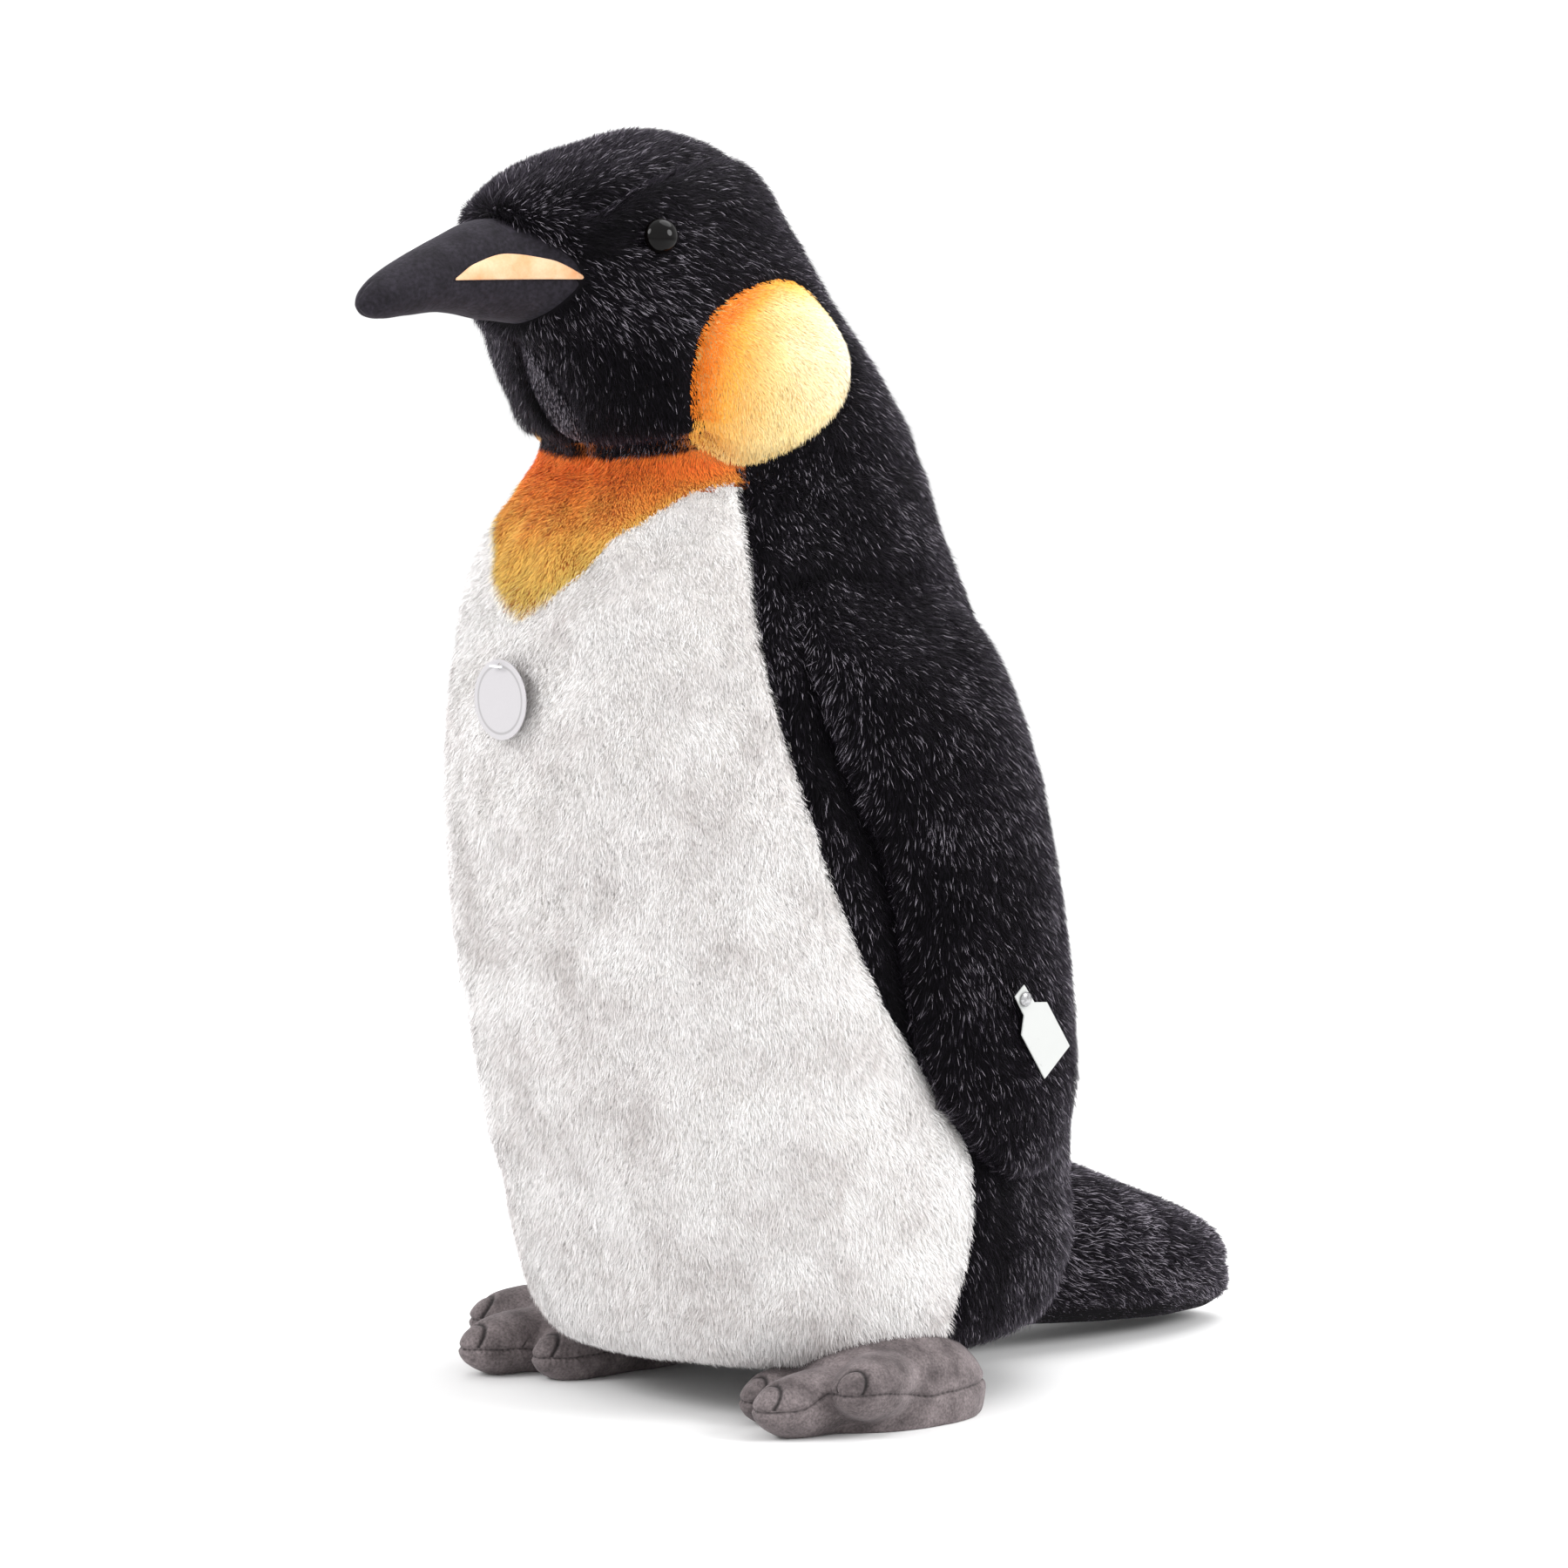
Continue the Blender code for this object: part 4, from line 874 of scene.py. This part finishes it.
def build_wing(word, side):
    body = word + "_wing"
    points = wing_grid() * np.array([side, 1, 1])
    rows, columns = points.shape[:2]
    across = -np.arange(columns) % columns           # the column on the other face, at the same y
    core = points * 0.72 + points[:, across] * 0.28
    core = core[int(rows * 0.10):int(rows * 0.80), np.r_[8:36, 51:79]]
    close_loft(core[:, ::side], "wing_stuffing_" + word, body)
    verts = points.reshape(-1, 3)
    faces = grid_faces(rows, columns, True)
    if side < 0:
        faces = faces[:, ::-1]
    ends = [np.arange(columns)[::-1], np.arange(columns) + (rows - 1) * columns]
    bm = bmesh.new()
    made = [bm.verts.new(v) for v in verts]
    for face in faces:
        bm.faces.new([made[i] for i in face])
    for loop in ends:
        bm.faces.new([made[i] for i in loop])
    bmesh.ops.recalc_face_normals(bm, faces=bm.faces)
    bm.normal_update()
    normals = np.array([tuple(v.normal) for v in made])
    mesh = bpy.data.meshes.new("wing_" + word)
    bm.to_mesh(mesh)
    bm.free()
    mesh.shade_smooth()
    shell = dress(link("wing_cloth_" + word, mesh), BLACK_CLOTH,
                  ["wing_outer_panel_" + word, "wing_inner_panel_" + word], body)
    roots, out = scatter(verts, to_triangles(faces), normals, 1.35e6, 50 + side)
    rng = np.random.default_rng(55 + side)
    at_front, at_rear = (bump(roots[:, 1] - edge, 6 * MM) for edge in wing_edges(roots[:, 2]))
    rim = np.maximum(at_front, at_rear)
    comb = np.zeros_like(roots)
    comb[:, 1], comb[:, 2] = 0.16 - 1.3 * at_front + 1.1 * at_rear, -1.0
    inside = step_up(-out[:, 0] * side, 0.2, 0.7)
    length = 6.4 * MM * (1 - 0.45 * inside) * (1 + 0.25 * rim)
    lift = 0.92 * (1 - 0.85 * inside) * (1 - 0.35 * rim)
    keep = np.ones(len(roots), bool)
    if side > 0:
        keep = np.hypot(roots[:, 1] - LABEL_Y, roots[:, 2] - LABEL_Z) > LABEL_CLEAR
    strands("pile_wing_" + word, roots[keep], out[keep], comb[keep], length[keep], lift[keep],
            black_dye_and_painted_light(roots[keep], rng), PILE["black"], body, seed=60 + side, ruffle=0.42, width=0.34 * MM)


for word, side in SIDES:
    build_wing(word, side)


# ---- tail ----
TAIL = [      # y, underside, top, half width
    (0.100, 0.0100, 0.1200, 0.050), (0.140, 0.0080, 0.1160, 0.056), (0.180, 0.0050, 0.1050, 0.059),
    (0.225, 0.0020, 0.0860, 0.057), (0.257, 0.0003, 0.0735, 0.051), (0.282, 0.0003, 0.0625, 0.042),
    (0.298, 0.0030, 0.0520, 0.030), (0.3065, 0.0120, 0.0400, 0.014)]
TAIL_SEAM_Z = 0.034
TAIL_ROWS, TAIL_COLUMNS, TAIL_DEPTH = 90, 120, 4 * MM       # its cloth lies this deep in its pile


def build_tail():
    y = np.linspace(TAIL[0][0], TAIL[-1][0] - TAIL_DEPTH, TAIL_ROWS)
    angle = np.linspace(0, 2 * math.pi, TAIL_COLUMNS, endpoint=False)
    low, high, half = (smooth_between(TAIL, column, y)[:, None] for column in (1, 2, 3))
    s, c = np.sin(angle)[None, :], np.cos(angle)[None, :]
    r = (np.abs(s)**2.5 + np.abs(c)**2.5)**(-1 / 2.5)
    points = np.stack([(half - TAIL_DEPTH) * r * s, np.repeat(y[:, None], TAIL_COLUMNS, axis=1),
                       (low + high) / 2 + ((high - low) / 2 - TAIL_DEPTH) * r * c], axis=-1)
    normals = grid_normals(points, True)
    centre = points.mean(axis=1, keepdims=True)
    if ((points - centre) * normals).sum() < 0:
        normals = -normals
    flat = points.reshape(-1, 3)
    relief = 1.4 * MM * noise(flat, 0.04, 81) - 2.0 * MM * bump(flat[:, 2] - TAIL_SEAM_Z, 3.5 * MM)
    flat = flat + normals.reshape(-1, 3) * relief[:, None]
    flat[:, 2] = np.maximum(flat[:, 2], 2.0 * MM)
    verts = np.concatenate([flat, [[0, TAIL[-1][0] - 2 * MM, 0.026]]])
    faces = grid_faces(TAIL_ROWS, TAIL_COLUMNS, True)
    cap = end_cap(TAIL_ROWS, TAIL_COLUMNS)
    upper = verts[faces].mean(axis=1)[:, 2] > TAIL_SEAM_Z
    covers = (("tail_top", upper, "tail_upper_panel", []), ("tail_under", ~upper, "tail_lower_panel", cap))
    cut_covers(verts, faces, covers, BLACK_CLOTH)
    outward = np.concatenate([normals.reshape(-1, 3), [[0, 1, 0]]])
    triangles = np.concatenate([to_triangles(faces), np.array(cap)])
    roots, out = scatter(verts, triangles, outward, 1.0e6, 91)
    shown = outside_body(roots)
    roots, out = roots[shown], out[shown]
    rng = np.random.default_rng(92)
    comb = np.zeros_like(roots)
    comb[:, 1], comb[:, 2] = 1.0, -0.40
    under = step_up(-out[:, 2], 0.3, 0.8)
    strands("pile_tail", roots, out, comb, 8.0 * MM * (1 - 0.4 * under), 0.55 * (1 - 0.8 * under),
            black_dye_and_painted_light(roots, rng), PILE["black"], seed=93, ruffle=0.45, floor=0.8 * MM)


def outside_body(p):
    """True where a point of the tail is outside the body."""
    middle, depth, half, _ = form_section(p[:, 2])
    return np.hypot(p[:, 0] / half, (p[:, 1] - middle) / depth) > 0.93


build_tail()


# ---- beak ----
def beak_section(y):
    """Height of the beak's axis, half height and half width; its rows run from the root to the tip."""
    return [smooth_between([(-row[0], *row[1:]) for row in BEAK], column, -y) for column in (1, 2, 3)]


def beak_surface(y, angle, grow=0.0):
    axis, high, wide = beak_section(y)
    return np.stack([(wide + grow) * np.sin(angle), y, axis + (high + grow) * np.cos(angle)], axis=-1)


GAPE_Z, GAPE_FRONT_Y = 0.601, -0.262        # the gape's seam ends short of the tip
PATCH = [(-0.261, 0.6016), (-0.250, 0.6090), (-0.232, 0.6140), (-0.212, 0.6110),
         (-0.1965, 0.6016)]                 # y, top z
PATCH_ROWS, PATCH_COLUMNS = 90, 22


def build_beak():
    rows, columns = 150, 128
    along = np.linspace(0, 1, rows)
    y = BEAK[0][0] + (BEAK[-1][0] - BEAK[0][0]) * along**0.9
    angle = np.linspace(0, 2 * math.pi, columns, endpoint=False)
    yy, aa = np.meshgrid(y, angle, indexing="ij")
    points = beak_surface(yy, aa)
    out = np.stack([np.sin(aa), np.zeros_like(aa), np.cos(aa)], axis=-1)
    flat, out = points.reshape(-1, 3), out.reshape(-1, 3)
    gape = np.where(flat[:, 1] > GAPE_FRONT_Y, flat[:, 2] - GAPE_Z, 1.0)
    relief = -1.1 * MM * bump(gape, 1.4 * MM) + 0.35 * MM * noise(flat, 14 * MM, 95)
    relief -= 0.7 * MM * bump(flat[:, 0], 1.2 * MM) * (flat[:, 2] < GAPE_Z)
    tip = [0, BEAK[-1][0] - 0.6 * MM, BEAK[-1][1]]
    verts = np.concatenate([flat + out * relief[:, None], [tip]])
    faces = grid_faces(rows, columns, True)
    middle = verts[faces].mean(axis=1)
    lower = (middle[:, 2] < GAPE_Z) & (middle[:, 1] > GAPE_FRONT_Y - 1.5 * MM)
    covers = (("beak_upper", ~lower, "beak_upper_cover", end_cap(rows, columns)),
              ("beak_lower", lower, "beak_lower_cover", []))
    cut_covers(verts, faces, covers, BEAK_VELOUR)
    for word, side in SIDES:
        build_beak_patch(word, side)


def build_beak_patch(word, side):
    """A lens of pale velour along the gape, standing a little proud and tucked in at its edges."""
    along = np.linspace(PATCH[0][0], PATCH[-1][0], PATCH_ROWS)
    top = smooth_between(PATCH, 1, along)
    share = np.linspace(0, 1, PATCH_COLUMNS)
    yy = np.repeat(along[:, None], PATCH_COLUMNS, axis=1)
    zz = GAPE_Z + 0.3 * MM + (top[:, None] - GAPE_Z) * share[None, :]
    axis, high, _ = beak_section(yy)
    angle = np.arccos(np.clip((zz - axis) / high, -1, 1))
    ends = np.sin(np.linspace(0, math.pi, PATCH_ROWS))[:, None]**0.4
    proud = 0.8 * MM * np.sin(share * math.pi)[None, :]**0.5 * ends
    points = beak_surface(yy, angle, proud - 0.25 * MM)
    points[..., 0] *= side
    obj = mesh_from("beak_patch_of_velour_" + word, points.reshape(-1, 3),
                    grid_faces(PATCH_ROWS, PATCH_COLUMNS, False))
    thick = obj.modifiers.new("Thickness", "SOLIDIFY")
    thick.thickness, thick.offset = 0.5 * MM, 0.0
    dress(obj, PEACH_VELOUR, ["beak_patch_" + word])


build_beak()


# ---- eyes ----
EYE_RADIUS, EYE_DOME, EYE_SUNK = 9.3 * MM, 7.6 * MM, 3.6 * MM
LOCK_PROFILE = [(2.3, -9.2), (7.4, -9.2), (8.0, -9.7), (8.0, -10.2), (7.4, -10.6), (2.3, -10.6), (2.3, -9.2)]


def lathe(name, profile, matrix, steps=64):
    """A turned piece about its own Z from (radius, height) points."""
    bm = bmesh.new()
    rings = []
    for r, h in profile:
        if r < 1e-6:
            rings.append([bm.verts.new((0, 0, h))])
        else:
            rings.append([bm.verts.new((r * math.cos(a), r * math.sin(a), h))
                          for a in (2 * math.pi * i / steps for i in range(steps))])
    for low, high in zip(rings, rings[1:]):
        for i in range(steps):
            j = (i + 1) % steps
            corners = [low[i % len(low)], low[j % len(low)], high[j % len(high)], high[i % len(high)]]
            bm.faces.new(list(dict.fromkeys(corners)))
    bmesh.ops.recalc_face_normals(bm, faces=bm.faces)
    mesh = bpy.data.meshes.new(name)
    bm.to_mesh(mesh)
    bm.free()
    mesh.transform(matrix)
    mesh.shade_smooth()
    return link(name, mesh)


def facing(seat, out):
    """The transform that puts a turned piece on its seat, with its axis outwards."""
    return Matrix.Translation(Vector(seat)) @ Vector(out).to_track_quat("Z", "Y").to_matrix().to_4x4()


def build_eyes():
    plastic = hard_material("washer_plastic", (0.62, 0.62, 0.60), 0.45)
    glass = hard_material("eye_glass", (0.002, 0.0015, 0.0015), 0.05, scale=200.0, vary=0.6, specular=0.14)
    profile = [(EYE_RADIUS * math.sin(a), EYE_DOME * math.cos(a)) for a in np.linspace(0, math.pi / 2, 24)]
    profile += [(EYE_RADIUS * 0.97, -0.8 * MM), (2 * MM, -1.0 * MM), (2 * MM, -12 * MM), (0.0, -12 * MM)]
    for word, side in SIDES:
        angles = side * EYE_ANGLE + np.array([-0.02, 0.0, 0.02])
        below, ring, above = (form_point(angles, np.full(3, EYE_AT_Z + rise * MM))
                              for rise in (-1.5, 0.0, 1.5))
        out = unit(np.cross(ring[2] - ring[0], above[1] - below[1]))
        seat = facing(ring[1] - out * EYE_SUNK, out)
        dress(lathe("eye_dome_" + word, profile, seat), glass, ["eye_" + word])
        lock = lathe("eye_lock_" + word, [(r * MM, h * MM) for r, h in LOCK_PROFILE], seat)
        dress(lock, plastic, ["eye_washer_" + word])


build_eyes()


# ---- feet ----
TOES = [(0.0846, -0.1238, 0.0130, 0), (0.1206, -0.1459, 0.0155, 0),
        (0.1540, -0.1140, 0.0240, 22)]       # tip x, tip y, middle height, degrees outwards
TOE_SIZE = (0.0180, 0.039, 0.0170)
INSTEP = (0.041, 0.060, 0.039)
FOOT_SEAM_Z = 0.0170


def foot_mass(name, side, shrink=0.0, finer=2):
    """Instep and toes as ellipsoids, melted into one skin."""
    bm = bmesh.new()

    def egg(centre, size, heading):
        made = bmesh.ops.create_uvsphere(bm, u_segments=48, v_segments=24, radius=1.0)["verts"]
        bmesh.ops.scale(bm, verts=made, vec=[length - shrink for length in size])
        bmesh.ops.rotate(bm, verts=made, cent=(0, 0, 0), matrix=Matrix.Rotation(heading, 3, "Z"))
        bmesh.ops.translate(bm, verts=made, vec=centre)

    egg((side * FOOT_X, FOOT_Y + 4 * MM, FOOT_Z), INSTEP, 0.0)
    for tip_x, tip_y, height, outwards in TOES:
        turn = math.radians(outwards)
        middle = Vector((tip_x, tip_y)) - Vector((math.sin(turn), -math.cos(turn))) * TOE_SIZE[1]
        egg((side * middle.x, middle.y, height), TOE_SIZE, side * turn)
    mesh = bpy.data.meshes.new(name)
    bm.to_mesh(mesh)
    bm.free()
    obj = link(name, mesh)
    remesh = obj.modifiers.new("Remesh", "REMESH")
    remesh.mode, remesh.voxel_size = "VOXEL", 2.6 * MM
    smooth = obj.modifiers.new("Smooth", "SMOOTH")
    smooth.factor, smooth.iterations = 0.5, 14
    if finer:
        subdivide = obj.modifiers.new("Finer", "SUBSURF")
        subdivide.levels = finer
    bpy.context.view_layer.update()
    result = bpy.data.meshes.new_from_object(obj.evaluated_get(bpy.context.evaluated_depsgraph_get()))
    obj.modifiers.clear()
    obj.data = result
    return obj


def mesh_arrays(mesh):
    """A mesh's vertices and their normals."""
    co = np.zeros(len(mesh.vertices) * 3)
    mesh.vertices.foreach_get("co", co)
    normal = np.zeros(len(mesh.vertices) * 3)
    mesh.vertex_normals.foreach_get("vector", normal)
    return co.reshape(-1, 3), normal.reshape(-1, 3)


def toe_frame(p, toe):
    """Distance back from a toe's tip, distance across it, and height above its middle."""
    tip_x, tip_y, level, outwards = toe
    turn = math.radians(outwards)
    reach = np.array([math.sin(turn), -math.cos(turn)])
    off = np.array([tip_x, tip_y]) - p[:, :2]
    return (off * reach).sum(axis=1), off[:, 0] * reach[1] - off[:, 1] * reach[0], p[:, 2] - level


def seam_height(p):
    """The seam between upper and sole: level at the instep, and following each toe's middle."""
    height = np.full(len(p), FOOT_SEAM_Z)
    for toe in TOES:
        back, across, _ = toe_frame(p, toe)
        near = bump(np.maximum(back - 30 * MM, 0), 18 * MM)
        near *= bump(np.maximum(np.abs(across) - 14 * MM, 0), 5 * MM)
        height += (toe[2] + 0.5 * MM - FOOT_SEAM_Z) * near
    return height + 0.4 * MM * noise(p, 9 * MM, 98)


def claw_lines(p):
    """1 on the short stitched arch over each toe's tip, from seam to seam."""
    lines = np.zeros(len(p))
    for toe in TOES:
        back, across, up = toe_frame(p, toe)
        rise = np.clip(up / TOE_SIZE[2], 0, 1)
        arch = back - (4.5 * MM + 14 * MM * rise**1.3)
        here = (up > 1.5 * MM) * (np.abs(across) < 19 * MM) * (back < 24 * MM)
        lines = np.maximum(lines, bump(arch, 1.0 * MM) * here)
    return lines


def foot_material():
    """Brushed velour, with the stitches darkened by a painted attribute."""
    made = FOOT_VELOUR.copy()
    made.name = "foot_velour_stitched"
    tree = made.node_tree
    shader = tree.nodes["Principled BSDF"]
    dyed = shader.inputs["Base Color"].links[0].from_socket
    stitch = tree.nodes.new("ShaderNodeAttribute")
    stitch.attribute_name = "stitch"
    dark = ramp_node(tree, grey((0.15, 1.0), (0.9, 0.10)), stitch.outputs["Fac"])
    tree.links.new(multiply(tree, dyed, dark), shader.inputs["Base Color"])
    return made


STITCHED_VELOUR = foot_material()


def build_foot(word, side):
    core = foot_mass("filling_of_foot_stuffing_" + word, side, 6 * MM, 0)
    core.data.shade_smooth()
    for vert in core.data.vertices:
        vert.co.z = max(vert.co.z, 3 * MM)
    dress(core, FIBRE, ["foot_stuffing_" + word])
    cover = foot_mass("foot_of_velour_" + word, side)
    co, normal = mesh_arrays(cover.data)
    p = co * np.array([side, 1, 1])
    seam = seam_height(p)
    gap = p[:, 2] - seam
    stitch = 0.5 + 0.5 * np.sin((p[:, 0] - p[:, 1]) * 1500)
    toe = step_up(-p[:, 1], 0.080, 0.110)
    claw = claw_lines(p)
    pucker = noise(p * np.array([1, 1, 0.25]), 4 * MM, 96)
    relief = -1.5 * MM * bump(gap, 1.3 * MM) + 0.30 * MM * toe * (stitch + pucker) * bump(gap, 4.0 * MM)
    relief += 0.9 * MM - 1.5 * MM * claw
    relief += 0.8 * MM * noise(p, 20 * MM, 97) + 0.25 * MM * noise(p, 6 * MM, 99)
    co = co + normal * relief[:, None]
    line = np.maximum(bump(gap, 0.7 * MM) * (0.45 + 0.35 * stitch), 0.85 * claw)
    faces = np.zeros(len(cover.data.polygons) * 4, np.int32)
    cover.data.loops.foreach_get("vertex_index", faces)
    faces = faces.reshape(-1, 4)
    co[:, 2] = np.maximum(co[:, 2], 0.3 * MM)
    upper = (p[:, 2] > seam)[faces].sum(axis=1) >= 2
    bpy.data.objects.remove(cover)
    for name, chosen, node in (("foot_upper_", upper, "foot_cover_"), ("foot_under_", ~upper, "foot_sole_")):
        used, index = np.unique(faces[chosen], return_inverse=True)
        obj = mesh_from(name + word, co[used], index.reshape(-1, 4))
        painted = obj.data.attributes.new("stitch", "FLOAT", "POINT")
        painted.data.foreach_set("value", line[used].astype(np.float32))
        dress(obj, STITCHED_VELOUR, [node + word])


for word, side in SIDES:
    build_foot(word, side)


# ---- tags ----
TAG_R, TAG_T = 21 * MM, 0.8 * MM
EYELET_R, EYELET_DROP = 1.6 * MM, 3.5 * MM


def maths_node(tree, kind, operation, source, value=None):
    node = tree.nodes.new(kind)
    node.operation = operation
    tree.links.new(source, node.inputs[0])
    if value is not None:
        node.inputs[1].default_value = value
    return node.outputs


def card_material(name, centre):
    """White coated card with a plain ring near its rim."""
    made, tree, shader = new_material(name, 0.3)
    set_inputs(shader, Coat_Weight=0.4)
    where = tree.nodes.new("ShaderNodeTexCoord").outputs["Object"]
    off = maths_node(tree, "ShaderNodeVectorMath", "SUBTRACT", where, centre)["Vector"]
    flat = maths_node(tree, "ShaderNodeVectorMath", "MULTIPLY", off, (1, 0, 1))["Vector"]
    reach = maths_node(tree, "ShaderNodeVectorMath", "LENGTH", flat)["Value"]
    share = maths_node(tree, "ShaderNodeMath", "MULTIPLY", reach, 1 / TAG_R)["Value"]
    card, ring = (0.44, 0.425, 0.44), (0.31, 0.30, 0.305)
    stops = [(0.0, card), (0.80, card), (0.82, ring), (0.86, ring), (0.88, card), (1.0, card)]
    colour = ramp_node(tree, stops, share)
    fleck = ramp_node(tree, grey((0.3, 0.97), (0.7, 1.0)), noise_node(tree, 900.0))
    tree.links.new(multiply(tree, colour, fleck), shader.inputs["Base Color"])
    return made


def circle(radius, height, steps):
    turns = np.linspace(0, 2 * math.pi, steps + 1)[:-1]
    return [(radius * math.cos(a), height + radius * math.sin(a)) for a in turns]


def build_chest_tag():
    low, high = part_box("chest_tag")
    middle = (low + high) / 2
    bm = bmesh.new()
    faces = []
    for z in (-TAG_T / 2, TAG_T / 2):
        loops, edges = [], []
        for outline in (circle(TAG_R, 0.0, 96), circle(EYELET_R, TAG_R - EYELET_DROP, 24)):
            verts = [bm.verts.new((x, y, z)) for x, y in outline]
            edges += [bm.edges.new(pair) for pair in zip(verts, verts[1:] + verts[:1])]
            loops.append(verts)
        bmesh.ops.triangle_fill(bm, use_beauty=True, edges=edges)
        faces.append(loops)
    for low_verts, high_verts in zip(*faces):
        for i in range(len(low_verts)):
            j = (i + 1) % len(low_verts)
            bm.faces.new((low_verts[i], low_verts[j], high_verts[j], high_verts[i]))
    bmesh.ops.recalc_face_normals(bm, faces=bm.faces)
    mesh = bpy.data.meshes.new("round_tag")
    bm.to_mesh(mesh)
    bm.free()
    mesh.transform(Matrix.Translation(middle) @ Matrix.Rotation(math.radians(90), 4, "X"))
    tag = link("round_tag", mesh)
    bevel = tag.modifiers.new("Edge", "BEVEL")
    bevel.width, bevel.segments, bevel.limit_method = 0.25 * MM, 3, "ANGLE"
    dress(tag, card_material("tag_card", tuple(middle)), ["chest_tag"], "chest_tag")
    repaint(NODES["tag_fastener"], hard_material("clear_fastener", (0.80, 0.82, 0.84), 0.15, coat=0.5))


build_chest_tag()


def weave_material(name, colour):
    """Woven tape: threads both ways with a slight sheen."""
    made, tree, shader = new_material(name, 0.7, 0.2)
    where = tree.nodes.new("ShaderNodeTexCoord")
    waves = []
    for direction in ("Y", "Z"):
        wave = tree.nodes.new("ShaderNodeTexWave")
        wave.bands_direction = direction
        set_inputs(wave, Scale=900.0, Distortion=1.0)
        tree.links.new(where.outputs["Object"], wave.inputs["Vector"])
        waves.append(wave.outputs["Color"])
    woven = multiply(tree, *waves)
    low = tuple(c * 0.88 for c in colour)
    tree.links.new(ramp_node(tree, [(0.1, low), (0.6, colour)], woven), shader.inputs["Base Color"])
    add_bump(tree, shader, woven, 0.15 * MM)
    return made


def build_flag():
    repaint(NODES["wing_flag"], weave_material("label_tape", (0.52, 0.53, 0.52)))
    steel = hard_material("button_steel", (0.50, 0.50, 0.51), 0.24, 1.0, scale=700.0, vary=0.45)
    for node in ("wing_button", "wing_button_washer"):
        repaint(NODES[node], steel)
        NODES[node].data.shade_smooth()


build_flag()


# ---- floor and light ----
def build_studio():
    corners = [(-30, -30, 0), (30, -30, 0), (30, 30, 0), (-30, 30, 0)]
    floor = mesh_from("floor", corners, [(0, 1, 2, 3)], smooth=False)
    paper, _, shader = new_material("floor_paper", 0.9, specular=0.2)
    set_inputs(shader, Base_Color=(0.79, 0.79, 0.792, 1.0))
    floor.data.materials.append(paper)
    world = bpy.data.worlds.new("studio")
    world.use_nodes = True
    set_inputs(world.node_tree.nodes["Background"], Color=(1.0, 1.0, 1.0, 1.0), Strength=1.28)
    bpy.context.scene.world = world
    bpy.context.scene.view_settings.view_transform = "Standard"
    middle = Vector((0.0, 0.0, 0.33))
    for name, place, size, power in (
            ("key", (-0.9, -2.2, 1.8), 1.2, 36.0),
            ("side", (2.1, 0.9, 1.5), 1.2, 40.0),
            ("top", (0.3, 0.9, 2.6), 2.0, 34.0)):
        data = bpy.data.lights.new(name, "AREA")
        data.shape, data.size, data.energy = "DISK", size, power
        light = bpy.data.objects.new(name, data)
        light.location = Vector(place)
        light.rotation_euler = (middle - Vector(place)).to_track_quat("-Z", "Y").to_euler()
        bpy.context.scene.collection.objects.link(light)


build_studio()
